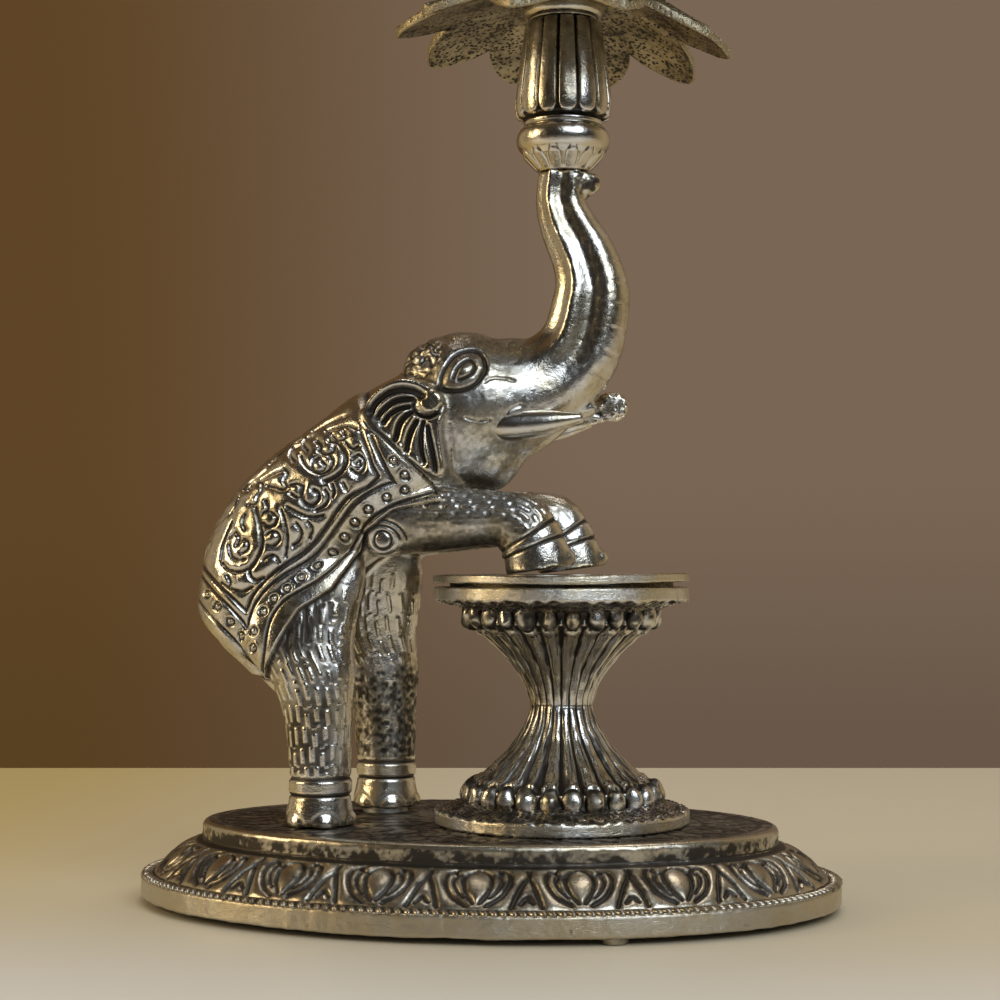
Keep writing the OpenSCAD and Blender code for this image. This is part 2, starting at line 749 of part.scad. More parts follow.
// Lotus: three petal plates on the rod
function petal_edge(count, r_tip, r_notch, point) = [
    for (i = [0 : count - 1], j = [-6 : 5]) let (t = j / 6, a = 360 * (i + t / 2) / count)
        (r_notch + (r_tip - r_notch) * pow(1 - pow(abs(t), point), 0.9)) * [cos(a), sin(a)]
];
function dish(r_tip, rise, power, steps = 6) = [
    for (i = [0 : steps]) let (t = i / steps, r = hub_r + (r_tip + 1 - hub_r) * t) [r, rise * pow(t, power)]
];

module petal_plate(r_tip, r_notch, rise, power, point, thick, phase) {
    curve = dish(r_tip, rise, power);
    bored(rod_r + fit_gap, petal_t)
        intersection() {
            rotate_extrude()
                polygon(concat(
                    [[0, 0]], curve,
                    [for (i = [len(curve) - 1 : -1 : 1]) [curve[i][0], curve[i][1] + thick]],
                    [[hub_r, petal_t], [0, petal_t]]));
            translate([0, 0, -abs(rise) - 5])
                linear_extrude(2 * abs(rise) + 15)
                    rotate(phase)
                        polygon(petal_edge(petal_count, r_tip, r_notch, point));
        }
}

module lower_petals() {
    color(dark_silver)
        translate([stem_x, 0, lower_z])
            petal_plate(lower_r, lower_r - 9.57, -lower_drop, 1.4, 1.45, petal_t, petal_phase);
}

module middle_petals() {
    color(silver)
        translate([stem_x, 0, middle_z])
            petal_plate(
                middle_r, middle_r - 15.13, middle_rise, 1.5, 1.6, petal_t, petal_phase + 180 / petal_count);
}

module inner_petals() {
    color(silver)
        translate([stem_x, 0, inner_z])
            petal_plate(inner_r, inner_r - 8.73, inner_rise, 1.9, 1.6, petal_t * 1.6, petal_phase);
}

module lotus_washer() {
    color(steel)
        translate([stem_x, 0, seat_z])
            washer(rod_r + fit_gap, washer_r * rod_r);
}

module lotus_nut() {
    color(steel)
        translate([stem_x, 0, seat_z + washer_t])
            nut(rod_r);
}

// The ring that the bowl's spigot drops into
seat_r_in = washer_r * rod_r + 1.6;
seat_r_out = seat_r_in + 3;
spigot_h = 1.4;
spigot_gap = 0.3;

module bowl_seat() {
    color(silver)
        translate([stem_x, 0, seat_z])
            difference() {
                cylinder(r = seat_r_out, h = seat_h);
                translate([0, 0, -1])
                    cylinder(r = seat_r_in, h = seat_h + 2);
            }
}

// Oil bowl, which lifts out
bowl_floor_z = bowl_z + bowl_wall;
function bowl_curve(r0, r1, z0, z1) = [
    for (i = [0 : 7]) let (a = 90 * i / 7) [r0 + (r1 - r0) * sin(a), z1 - (z1 - z0) * cos(a)]
];

module oil_bowl() {
    r_foot = seat_r_out;
    spigot_r = seat_r_in - spigot_gap;
    color(silver)
        translate([stem_x, 0, 0])
            rotate_extrude()
                polygon(concat(
                    [[0, bowl_z - spigot_h], [spigot_r, bowl_z - spigot_h], [spigot_r, bowl_z]],
                    bowl_curve(r_foot, bowl_r, bowl_z, bowl_z + bowl_h),
                    [for (i = [7 : -1 : 0])
                        bowl_curve(r_foot - bowl_wall, bowl_r - bowl_wall, bowl_floor_z, bowl_z + bowl_h)[i]],
                    [[0, bowl_floor_z]]));
}

// Round cotton wick: a puff with a twisted tip, standing in the bowl
module cotton_wick() {
    puff_r = 6;
    stem_r = 1.6;
    color(cotton)
        translate([stem_x, 0, bowl_floor_z])
            rotate_extrude()
                polygon([
                    [0, 0], [puff_r - 0.8, 0], [puff_r, 1], [puff_r - 1, 2.4], [stem_r + 1.2, 3.4],
                    [stem_r, 5], [stem_r, wick_h * 0.7], [0.5, wick_h], [0, wick_h]
                ]);
}

plinth();
pedestal_foot();
pedestal_cup();
pedestal_disc();
pedestal_bolt();
pedestal_washer();
pedestal_nut();
elephant();
hind_foot_spacer();
hind_foot_screws();
hind_foot_washers();
trunk_cup();
fluted_barrel();
stem_collar();
stem_rod();
lower_petals();
middle_petals();
inner_petals();
lotus_washer();
lotus_nut();
bowl_seat();
oil_bowl();
cotton_wick();
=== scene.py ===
"""Looks of a standing oil lamp: antiqued white-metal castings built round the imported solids.

Shapes are worked out in millimetres in the solids' frame and become metres when a mesh is made.
"""

from __future__ import annotations

import functools
import itertools
import logging
import math
from dataclasses import dataclass, field
from enum import Enum
from typing import Any, Callable, Sequence

import bpy
import numpy as np
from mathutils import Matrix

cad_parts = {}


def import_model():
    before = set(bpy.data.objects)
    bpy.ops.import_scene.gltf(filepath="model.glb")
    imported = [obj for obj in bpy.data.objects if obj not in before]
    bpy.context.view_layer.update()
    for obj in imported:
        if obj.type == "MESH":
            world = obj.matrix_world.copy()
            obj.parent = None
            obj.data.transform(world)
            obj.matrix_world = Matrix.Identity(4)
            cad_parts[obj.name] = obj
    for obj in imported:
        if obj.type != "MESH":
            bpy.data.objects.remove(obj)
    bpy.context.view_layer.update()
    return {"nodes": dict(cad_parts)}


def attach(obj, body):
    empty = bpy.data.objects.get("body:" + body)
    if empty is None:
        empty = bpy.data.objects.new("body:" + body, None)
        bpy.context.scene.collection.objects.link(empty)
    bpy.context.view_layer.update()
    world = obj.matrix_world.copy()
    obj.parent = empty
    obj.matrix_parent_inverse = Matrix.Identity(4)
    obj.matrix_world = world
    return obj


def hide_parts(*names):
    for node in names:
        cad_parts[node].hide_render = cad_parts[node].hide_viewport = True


LOG = logging.getLogger("oil_lamp")
MM = 0.001
FULL_TURN = 2 * np.pi
Colour = tuple[float, float, float]
Array = np.ndarray
Lines = list[tuple[float, Array]]
Mesh = bpy.types.Mesh
Material = bpy.types.Material
Socket = bpy.types.NodeSocket


class Body(Enum):
    """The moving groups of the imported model."""

    LAMP = "lamp"
    BOWL = "bowl"


class Slot(Enum):
    """The material slots' names."""

    CAST = "cast_silver"
    PLINTH = "plinth_silver"
    PETAL = "petal_silver"
    BOWL = "bowl_silver"
    STEEL = "fastener_steel"
    COTTON = "cotton"


# Numbers


def ease(low: float, high: float, value: Array) -> Array:
    """Eases from 0 at low to 1 at high.

    Args:
        low: Where the result is still 0.
        high: Where the result has become 1.
        value: Numbers to ease.

    Returns:
        Numbers from 0 to 1.
    """
    t = np.clip((value - low) / (high - low), 0.0, 1.0)
    return t * t * (3.0 - 2.0 * t)


def bump(value: Array, middle: float, width: float) -> Array:
    """A bell-shaped bump of height 1 round middle."""
    return np.exp(-(((value - middle) / width) ** 2))


def swell(clear: Array, width: float) -> Array:
    """Rises from 0 at a line's edge towards 1 away from it."""
    return 1.0 - np.exp(-np.maximum(clear, 0.0) / width)


def most(*layers: Array) -> Array:
    """The greatest of several layers at each point."""
    return functools.reduce(np.maximum, layers)


def ring_angles(count: int) -> Array:
    """Angles that divide a full turn evenly, from 0."""
    return FULL_TURN * np.arange(count) / count


def circle(r: Any, a: Array, z: Any, x: float = 0.0, y: float = 0.0) -> Array:
    """Points at radii, angles and heights about an upright line at x and y."""
    return np.stack([x + r * np.cos(a), y + r * np.sin(a), z + 0 * a], -1)


def run_lengths(path: Array) -> Array:
    """Distances along a path to each of its points."""
    return np.r_[0.0, np.cumsum(np.linalg.norm(np.diff(path, axis=0), axis=1))]


def filed_edge(angles: Array, seed: int, facets: int, low: float, high: float) -> Array:
    """Heights of the flat places that a file has left round an edge.

    Args:
        angles: Where the heights are wanted.
        seed: Choice of places.
        facets: How many there are.
        low: The least height.
        high: The greatest height.

    Returns:
        The heights.
    """
    rng = np.random.default_rng(seed)
    places = np.sort(rng.uniform(0, FULL_TURN, facets))
    return np.interp(angles, places, rng.uniform(low, high, facets), period=FULL_TURN)


def spline(knots: Any, steps: int, closed: bool = False) -> Array:
    """A smooth curve through rows of numbers.

    Args:
        knots: Points to pass through, one row each.
        steps: Points made for each span.
        closed: Whether the curve returns to its first point.

    Returns:
        The finer rows.
    """
    pts = np.asarray(knots, float)
    if closed:
        padded, spans = np.vstack([pts[-1:], pts, pts[:2]]), len(pts)
    else:
        padded = np.vstack([2 * pts[:1] - pts[1:2], pts, 2 * pts[-1:] - pts[-2:-1]])
        spans = len(pts) - 1
    t = (np.arange(steps) / steps)[:, None]
    made = []
    for i in range(spans):
        a, b, c, d = padded[i : i + 4]
        square, cube = 2 * a - 5 * b + 4 * c - d, 3 * b - a - 3 * c + d
        made.append(0.5 * (2 * b + (c - a) * t + square * t**2 + cube * t**3))
    return np.vstack(made if closed else made + [pts[-1:]])


def even_path(knots: Any, pitch: float) -> Array:
    """A polyline's points, with more of them so that none are further apart than pitch."""
    pts = np.asarray(knots, float)
    made = []
    for a, b in itertools.pairwise(pts):
        count = max(1, int(math.ceil(np.linalg.norm(b - a) / pitch)))
        made.append(a + (b - a) * (np.arange(count) / count)[:, None])
    return np.vstack(made + [pts[-1:]])


def grain(points: Array, per_mm: float, seed: int) -> Array:
    """Smooth repeatable noise.

    Args:
        points: Places in millimetres, three columns.
        per_mm: Cells for each millimetre.
        seed: Choice of noise.

    Returns:
        Numbers from about -1 to 1.
    """
    table = np.random.default_rng(seed).uniform(-1.0, 1.0, 8192)
    q = points * per_mm
    cell = np.floor(q).astype(np.int64)
    f = q - cell
    f = f * f * (3.0 - 2.0 * f)
    total = np.zeros(len(points))
    for corner in range(8):
        bit = np.array([corner & 1, corner >> 1 & 1, corner >> 2 & 1])
        n = cell + bit
        key = (n[:, 0] * 73856093 ^ n[:, 1] * 19349663 ^ n[:, 2] * 83492791) & 8191
        total += table[key] * np.prod(np.where(bit, f, 1.0 - f), axis=1)
    return total


def listed(text: str) -> Array:
    """Reads rows of numbers from text with commas inside a row and spaces between rows."""
    return np.array([row.split(",") for row in text.split()], float)


def drawn(text: str) -> Lines:
    """Reads drawn lines from text.

    Args:
        text: Lines with semicolons between them, each a half width and then its places.

    Returns:
        The half width and the points of each line.
    """
    made = []
    for line in text.split(";"):
        half, places = line.split(maxsplit=1)
        made.append((float(half), listed(places)))
    return made


def segment_distance(p: Array, a: Array, b: Array) -> Array:
    """Distances of points from the straight line between a and b."""
    d = b - a
    t = np.clip((p - a) @ d / max(d @ d, 1e-9), 0.0, 1.0)
    return np.linalg.norm(p - a - t[:, None] * d, axis=1)


def line_clearance(x: Array, z: Array, lines: Lines, reach: float = 3.0) -> Array:
    """How far points lie outside drawn lines.

    Args:
        x: First coordinates.
        z: Second coordinates.
        lines: Half width and points of each line.
        reach: Distance beyond which a line is ignored.

    Returns:
        The distance from the nearest line's edge, below 0 inside a line.
    """
    clear = np.full(len(x), reach)
    for half, pts in lines:
        pts = spline(pts, 4) if len(pts) > 2 else pts
        low, high = pts.min(0) - reach, pts.max(0) + reach
        near = np.nonzero((x > low[0]) & (x < high[0]) & (z > low[1]) & (z < high[1]))[0]
        if not len(near):
            continue
        p = np.stack([x[near], z[near]], 1)
        best = functools.reduce(np.minimum, (segment_distance(p, a, b) for a, b in itertools.pairwise(pts)))
        clear[near] = np.minimum(clear[near], best - half)
    return clear


def inside_depth(x: Array, z: Array, loop: Any) -> Array:
    """How deep points lie inside a closed outline, below 0 outside it."""
    pts = np.asarray(loop, float)
    p = np.stack([x, z], 1)
    best = np.full(len(x), np.inf)
    odd = np.zeros(len(x), bool)
    for a, b in zip(pts, np.roll(pts, -1, 0)):
        best = np.minimum(best, segment_distance(p, a, b))
        rise = b[1] - a[1]
        at = a[0] + (z - a[1]) / (rise if abs(rise) > 1e-12 else 1e-12) * (b[0] - a[0])
        odd ^= ((a[1] > z) != (b[1] > z)) & (x < at)
    return np.where(odd, best, -best)


# Meshes


@dataclass
class CastMesh:
    """A mesh of four-sided faces in millimetres, shaped as arrays."""

    points: Array
    quads: Array
    caps: list[list[int]] = field(default_factory=list)

    @classmethod
    def grid(cls, rows: Array, closed: bool = False, capped: bool = False) -> CastMesh:
        """Joins rows of points, each of which returns to its first point.

        Args:
            rows: Points as (row, column, 3), anticlockwise along a row seen from where the rows end.
            closed: Whether the last row joins the first.
            capped: Whether flat faces close the first and the last row.

        Returns:
            The mesh.
        """
        m, n = rows.shape[:2]
        j, i = np.meshgrid(np.arange(m if closed else m - 1), np.arange(n), indexing="ij")
        up, on = (j + 1) % m, (i + 1) % n
        quads = np.stack([j * n + i, j * n + on, up * n + on, up * n + i], -1).reshape(-1, 4)
        caps = [list(range(n - 1, -1, -1)), list(range((m - 1) * n, m * n))] if capped else []
        return cls(rows.reshape(-1, 3).copy(), quads, caps)

    @classmethod
    def turned(cls, profile: Array, columns: int, middle: tuple[float, float]) -> CastMesh:
        """A closed profile of (radius, height) turned about an upright line.

        Args:
            profile: The closed outline, anticlockwise with the radius to the right.
            columns: Points round the turn.
            middle: The line's place in plan.

        Returns:
            The mesh.
        """
        return cls.grid(circle(profile[:, :1], ring_angles(columns), profile[:, 1:], *middle), closed=True)

    @staticmethod
    def turned_places(profile: Array, columns: int) -> tuple[Array, Array, Array]:
        """The angle, the radius and the height of each point of a turned profile."""
        angles = np.tile(ring_angles(columns), len(profile))
        return angles, np.repeat(profile[:, 0], columns), np.repeat(profile[:, 1], columns)

    @classmethod
    def ball(
        cls, middle: Sequence[float], size: Sequence[float], rings: int = 17, sides: int = 28
    ) -> CastMesh:
        """A closed ball stretched along the axes."""
        t = np.linspace(-0.48, 0.48, rings)[:, None] * np.pi
        unit = circle(np.cos(t), ring_angles(sides), np.sin(t))
        return cls.grid(unit * np.asarray(size, float) + np.asarray(middle, float), capped=True)

    @staticmethod
    def points_of(mesh: Mesh) -> Array:
        """The points of a Blender mesh, in its own units."""
        points = np.empty(len(mesh.vertices) * 3)
        mesh.vertices.foreach_get("co", points)
        return points.reshape(-1, 3)

    @classmethod
    def read(cls, mesh: Mesh) -> CastMesh:
        """Takes the points and four-sided faces of a Blender mesh that is in millimetres."""
        corners = np.empty(len(mesh.loops), np.int32)
        mesh.loops.foreach_get("vertex_index", corners)
        return cls(cls.points_of(mesh), corners.astype(np.int64).reshape(-1, 4))

    @staticmethod
    def joined(meshes: Sequence[CastMesh]) -> CastMesh:
        """One mesh that holds several, without merging them."""
        quads, caps, base = [], [], 0
        for m in meshes:
            quads.append(m.quads + base)
            caps += [[i + base for i in c] for c in m.caps]
            base += len(m.points)
        return CastMesh(np.vstack([m.points for m in meshes]), np.vstack(quads), caps)

    def normals(self) -> Array:
        """The points' outward directions."""
        p, q = self.points, self.quads
        face = np.cross(p[q[:, 2]] - p[q[:, 0]], p[q[:, 3]] - p[q[:, 1]])
        sums = [sum(np.bincount(q[:, i], face[:, c], len(p)) for i in range(4)) for c in range(3)]
        total = np.stack(sums, 1)
        return total / np.maximum(np.linalg.norm(total, axis=1, keepdims=True), 1e-12)

    def averager(self) -> Callable[[Array], Array]:
        """A function that gives each point the mean of its neighbours' values."""
        a = np.concatenate([self.quads[:, i] for i in range(4)])
        b = np.concatenate([self.quads[:, (i + 1) % 4] for i in range(4)])
        to, by = np.concatenate([a, b]), np.concatenate([b, a])
        count = np.maximum(np.bincount(to, minlength=len(self.points)), 1)

        def mean(values: Array) -> Array:
            """Means of the neighbours' values, column by column."""
            return np.stack([np.bincount(to, v[by], len(self.points)) / count for v in values.T], 1)

        return mean

    def relaxed(self, rounds: int) -> Array:
        """The points after rounds of smoothing."""
        mean, soft = self.averager(), self.points.copy()
        for _ in range(rounds):
            soft += 0.5 * (mean(soft) - soft)
        return soft

    def grain(self, per_mm: float, seed: int) -> Array:
        """Noise at the points."""
        return grain(self.points, per_mm, seed)

    def push(self, height: Array) -> None:
        """Moves each point outwards by its height."""
        self.points += self.normals() * height[:, None]

    def hollows(self, rounds: int) -> Array:
        """How far each point lies below its smoothed surroundings, in millimetres."""
        return ((self.relaxed(rounds) - self.points) * self.normals()).sum(1)

    def patina(self, fine: tuple[float, float], broad: tuple[float, float]) -> Array:
        """How much dark patina each point has kept.

        Args:
            fine: Depths in millimetres between which narrow hollows darken.
            broad: The same for wide hollows.

        Returns:
            Numbers from 0, polished, to 1, black.
        """
        narrow = ease(*fine, self.hollows(5))
        wide = ease(*broad, self.hollows(28))
        return np.clip(narrow + 0.6 * wide, 0.0, 1.0)

    def mesh(self, name: str, shades: dict[str, Array], unit: float = 1.0) -> Mesh:
        """A smooth-shaded Blender mesh.

        Args:
            name: The mesh's name.
            shades: Numbers for each point, by attribute name.
            unit: 1 for a mesh in metres, or MM for one that stays in millimetres.

        Returns:
            The mesh.
        """
        made = bpy.data.meshes.new(name)
        corners = np.concatenate([self.quads.ravel()] + [np.array(c) for c in self.caps]).astype(np.int32)
        sizes = np.array([4] * len(self.quads) + [len(c) for c in self.caps])
        made.vertices.add(len(self.points))
        self.move(made, self.points / unit)
        made.loops.add(len(corners))
        made.loops.foreach_set("vertex_index", corners)
        made.polygons.add(len(sizes))
        made.polygons.foreach_set("loop_start", (np.cumsum(sizes) - sizes).astype(np.int32))
        made.update(calc_edges=True)
        made.polygons.foreach_set("use_smooth", np.ones(len(sizes), bool))
        for key, values in shades.items():
            self.shade(made, key, values)
        made.validate()
        return made

    @staticmethod
    def move(mesh: Mesh, points: Array) -> None:
        """Gives a Blender mesh new points, in millimetres."""
        mesh.vertices.foreach_set("co", (points * MM).astype(np.float32).ravel())

    @staticmethod
    def shade(mesh: Mesh, key: str, values: Array) -> None:
        """Writes a number for each point of a mesh under an attribute's name."""
        mesh.attributes.new(key, "FLOAT", "POINT").data.foreach_set("value", values.astype(np.float32))


Casting = tuple[CastMesh, dict[str, Array]]


class Workshop:
    """Puts finished pieces into the scene."""

    @staticmethod
    def place(
        mesh: Mesh,
        name: str,
        finish: Material,
        slot: Slot,
        body: Body = Body.LAMP,
        nodes: Sequence[str] = (),
    ) -> None:
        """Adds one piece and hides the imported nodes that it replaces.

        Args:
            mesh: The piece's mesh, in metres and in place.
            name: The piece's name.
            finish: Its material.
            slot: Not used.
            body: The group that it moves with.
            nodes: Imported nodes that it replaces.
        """
        mesh.materials.clear()
        mesh.materials.append(finish)
        made = bpy.data.objects.new(name, mesh)
        bpy.context.scene.collection.objects.link(made)
        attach(made, body.value)
        if nodes:
            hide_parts(*nodes)
        LOG.info("%s: %d faces", name, len(mesh.polygons))

    @classmethod
    def cast(
        cls,
        made: Casting,
        name: str,
        finish: Material,
        slot: Slot,
        body: Body = Body.LAMP,
        nodes: Sequence[str] = (),
    ) -> None:
        """Places a casting that is given with its shades, with the same choices as place."""
        shape, shades = made
        cls.place(shape.mesh(name, shades), name, finish, slot, body, nodes)

    @staticmethod
    def applied(
        mesh: Mesh, kind: str, settings: dict[str, Any], inputs: dict[str, Any] | None = None
    ) -> Mesh:
        """A copy of a mesh with one modifier applied.

        Args:
            mesh: The mesh to work on.
            kind: The modifier's type.
            settings: Its properties.
            inputs: Values for a geometry tree, by its inputs' identifiers.

        Returns:
            The resulting plain mesh.
        """
        host = bpy.data.objects.new("bench", mesh)
        bpy.context.scene.collection.objects.link(host)
        modifier = host.modifiers.new("work", kind)
        for key, value in settings.items():
            setattr(modifier, key, value)
        for key, value in (inputs or {}).items():
            modifier[key] = value
        made = bpy.data.meshes.new_from_object(host.evaluated_get(bpy.context.evaluated_depsgraph_get()))
        bpy.data.objects.remove(host)
        return made


# Node trees


class Signal:
    """An output socket that takes part in sums."""

    def __init__(self, owner: NodeTree, socket: Socket) -> None:
        """Wraps one output socket of a tree."""
        self.owner, self.socket = owner, socket

    def _sum(self, operation: str, left: Any, right: Any) -> Signal:
        """Adds one Math node."""
        made = self.owner.node("ShaderNodeMath", {"operation": operation}, {0: left, 1: right})
        return Signal(self.owner, made.outputs[0])

    def __add__(self, other: Any) -> Signal:
        """self + other."""
        return self._sum("ADD", self, other)

    def __radd__(self, other: Any) -> Signal:
        """other + self."""
        return self._sum("ADD", other, self)

    def __sub__(self, other: Any) -> Signal:
        """self - other."""
        return self._sum("SUBTRACT", self, other)

    def __rsub__(self, other: Any) -> Signal:
        """other - self."""
        return self._sum("SUBTRACT", other, self)

    def __mul__(self, other: Any) -> Signal:
        """self * other."""
        return self._sum("MULTIPLY", self, other)

    def __rmul__(self, other: Any) -> Signal:
        """other * self."""
        return self._sum("MULTIPLY", other, self)

    def __rtruediv__(self, other: Any) -> Signal:
        """other / self."""
        return self._sum("DIVIDE", other, self)

    def clamp(self) -> Signal:
        """Kept between 0 and 1."""
        return self._sum("MINIMUM", self._sum("MAXIMUM", self, 0.0), 1.0)

    def ease(self, low: float, high: float) -> Signal:
        """0 at low, 1 at high, smooth between."""
        made = self.owner.node(
            "ShaderNodeMapRange",
            {"interpolation_type": "SMOOTHSTEP"},
            {"Value": self, "From Min": low, "From Max": high},
        )
        return Signal(self.owner, made.outputs["Result"])


class NodeTree:
    """A node tree that takes numbers, sockets and signals alike."""

    def __init__(self, tree: bpy.types.NodeTree) -> None:
        """Takes a tree to add nodes to."""
        self.tree = tree

    def node(
        self, kind: str, settings: dict[str, Any] | None = None, values: dict[Any, Any] | None = None
    ) -> Any:
        """Adds a node.

        Args:
            kind: The node's type.
            settings: Properties, set first.
            values: Numbers, sockets or signals for its inputs, by place, name or identifier.

        Returns:
            The node.
        """
        made = self.tree.nodes.new(kind)
        for key, value in (settings or {}).items():
            setattr(made, key, value)
        for key, value in (values or {}).items():
            self.feed(made, key, value)
        return made

    def feed(self, node: Any, key: Any, value: Any) -> None:
        """Sets or links one input of a node."""
        socket = (
            node.inputs[key]
            if isinstance(key, int)
            else next(s for s in node.inputs if key in (s.identifier, s.name) and s.enabled)
        )
        if isinstance(value, Signal):
            self.tree.links.new(value.socket, socket)
        elif isinstance(value, Socket):
            self.tree.links.new(value, socket)
        else:
            socket.default_value = value


class Rig(NodeTree):
    """A geometry tree with named inputs."""

    def __init__(self, name: str) -> None:
        """Starts an empty tree."""
        super().__init__(bpy.data.node_groups.new(name, "GeometryNodeTree"))
        self.keys: dict[str, str] = {}
        for way in ("OUTPUT", "INPUT"):
            self.tree.interface.new_socket(name="Geometry", in_out=way, socket_type="NodeSocketGeometry")
        self.entry = self.tree.nodes.new("NodeGroupInput")
        self.exit = self.tree.nodes.new("NodeGroupOutput")

    def input(self, name: str, kind: str) -> Signal:
        """Adds a named input and returns its signal inside the tree."""
        item = self.tree.interface.new_socket(name=name, in_out="INPUT", socket_type="NodeSocket" + kind)
        self.keys[name] = item.identifier
        return Signal(self, next(s for s in self.entry.outputs if s.identifier == item.identifier))

    def end(self, geometry: Socket, finish: Signal) -> None:
        """Closes the tree with Realize Instances and Set Material."""
        real = self.node("GeometryNodeRealizeInstances", {}, {"Geometry": geometry})
        painted = self.node(
            "GeometryNodeSetMaterial", {}, {"Geometry": real.outputs["Geometry"], "Material": finish}
        )
        self.tree.links.new(painted.outputs["Geometry"], self.exit.inputs["Geometry"])

    def run(self, host: Mesh, inputs: dict[str, Any]) -> Mesh:
        """Applies the tree to a mesh.

        Args:
            host: The mesh that the tree starts from.
            inputs: Values by input name.

        Returns:
            The resulting plain mesh.
        """
        values = {self.keys[name]: value for name, value in inputs.items()}
        made = Workshop.applied(host, "NODES", {"node_group": self.tree}, values)
        made.polygons.foreach_set("use_smooth", np.ones(len(made.polygons), bool))
        return made


class RepeatRig(Rig):
    """Sets one motif on every point, turned as the point's own attribute says."""

    def __init__(self) -> None:
        """Builds the tree."""
        super().__init__("repeat_motif")
        motif, size = self.input("Motif", "Object"), self.input("Size", "Float")
        spread, seed = self.input("Size Spread", "Float"), self.input("Seed", "Int")
        finish = self.input("Finish", "Material")
        info = self.node("GeometryNodeObjectInfo", {}, {"Object": motif})
        turn = self.node("GeometryNodeInputNamedAttribute", {"data_type": "FLOAT_VECTOR"}, {"Name": "turn"})
        limits = {2: size - spread, 3: size + spread, "Seed": seed}
        chance = self.node("FunctionNodeRandomValue", {"data_type": "FLOAT"}, limits)
        spun = self.node("FunctionNodeEulerToRotation", {}, {0: turn.outputs["Attribute"]})
        placed = self.node(
            "GeometryNodeInstanceOnPoints",
            {},
            {
                "Points": self.entry.outputs["Geometry"],
                "Instance": info.outputs["Geometry"],
                "Rotation": spun.outputs[0],
                "Scale": chance.outputs[1],
            },
        )
        self.end(placed.outputs["Instances"], finish)

    def set_out(
        self,
        motif: CastMesh,
        places: Array,
        turns: Array,
        finish: Material,
        spread: float,
        seed: int,
    ) -> Mesh:
        """Repeats a motif.

        Args:
            motif: The shape, round the origin.
            places: Points in millimetres.
            turns: Euler angles of each copy, in radians.
            finish: The material.
            spread: How much copies differ in size.
            seed: Choice of sizes.

        Returns:
            One mesh of all the copies, in metres.
        """
        shape = bpy.data.objects.new("motif", motif.mesh("motif", {}))
        host = bpy.data.meshes.new("places")
        host.vertices.add(len(places))
        CastMesh.move(host, places)
        turn = host.attributes.new("turn", "FLOAT_VECTOR", "POINT")
        turn.data.foreach_set("vector", turns.astype(np.float32).ravel())
        made = self.run(
            host, {"Motif": shape, "Size": 1.0, "Size Spread": spread, "Seed": seed, "Finish": finish}
        )
        bpy.data.objects.remove(shape)
        return made


class StrandRig(Rig):
    """Twists strands round an upright line."""

    def __init__(self) -> None:
        """Builds the tree."""
        super().__init__("twist_strands")
        turns, foot = self.input("Turns", "Float"), self.input("Foot Radius", "Float")
        tip, tall = self.input("Tip Radius", "Float"), self.input("Height", "Float")
        count, thick = self.input("Strands", "Int"), self.input("Strand Radius", "Float")
        finish = self.input("Finish", "Material")
        coil = self.node(
            "GeometryNodeCurveSpiral",
            {},
            {"Resolution": 40, "Rotations": turns, "Start Radius": foot, "End Radius": tip, "Height": tall},
        )
        index = Signal(self, self.node("GeometryNodeInputIndex").outputs[0])
        turn = self.node("ShaderNodeCombineXYZ", {}, {"Z": index * (FULL_TURN / count)})
        spots = self.node("GeometryNodePoints", {}, {"Count": count})
        spun = self.node("FunctionNodeEulerToRotation", {}, {0: turn.outputs[0]})
        placed = self.node(
            "GeometryNodeInstanceOnPoints",
            {},
            {"Points": spots.outputs[0], "Instance": coil.outputs["Curve"], "Rotation": spun.outputs[0]},
        )
        real = self.node("GeometryNodeRealizeInstances", {}, {"Geometry": placed.outputs["Instances"]})
        section = self.node("GeometryNodeCurvePrimitiveCircle", {}, {"Resolution": 7, "Radius": thick})
        tube = self.node(
            "GeometryNodeCurveToMesh",
            {},
            {"Curve": real.outputs["Geometry"], "Profile Curve": section.outputs["Curve"], "Fill Caps": True},
        )
        self.end(tube.outputs["Mesh"], finish)


class ShaderTree(NodeTree):
    """A shader tree with colours and coordinates."""

    def axes(self, vector: Socket) -> tuple[Signal, Signal, Signal]:
        """The three numbers of a vector."""
        split = self.node("ShaderNodeSeparateXYZ", {}, {0: vector}).outputs
        return Signal(self, split["X"]), Signal(self, split["Y"]), Signal(self, split["Z"])

    def mixed(self, low: Any, high: Any, share: Signal) -> Socket:
        """A colour between two colours."""
        values = {"Factor_Float": share}
        for key, colour in (("A_Color", low), ("B_Color", high)):
            values[key] = (*colour, 1.0) if isinstance(colour, tuple) else colour
        made = self.node("ShaderNodeMix", {"data_type": "RGBA"}, values)
        return next(s for s in made.outputs if s.identifier == "Result_Color")


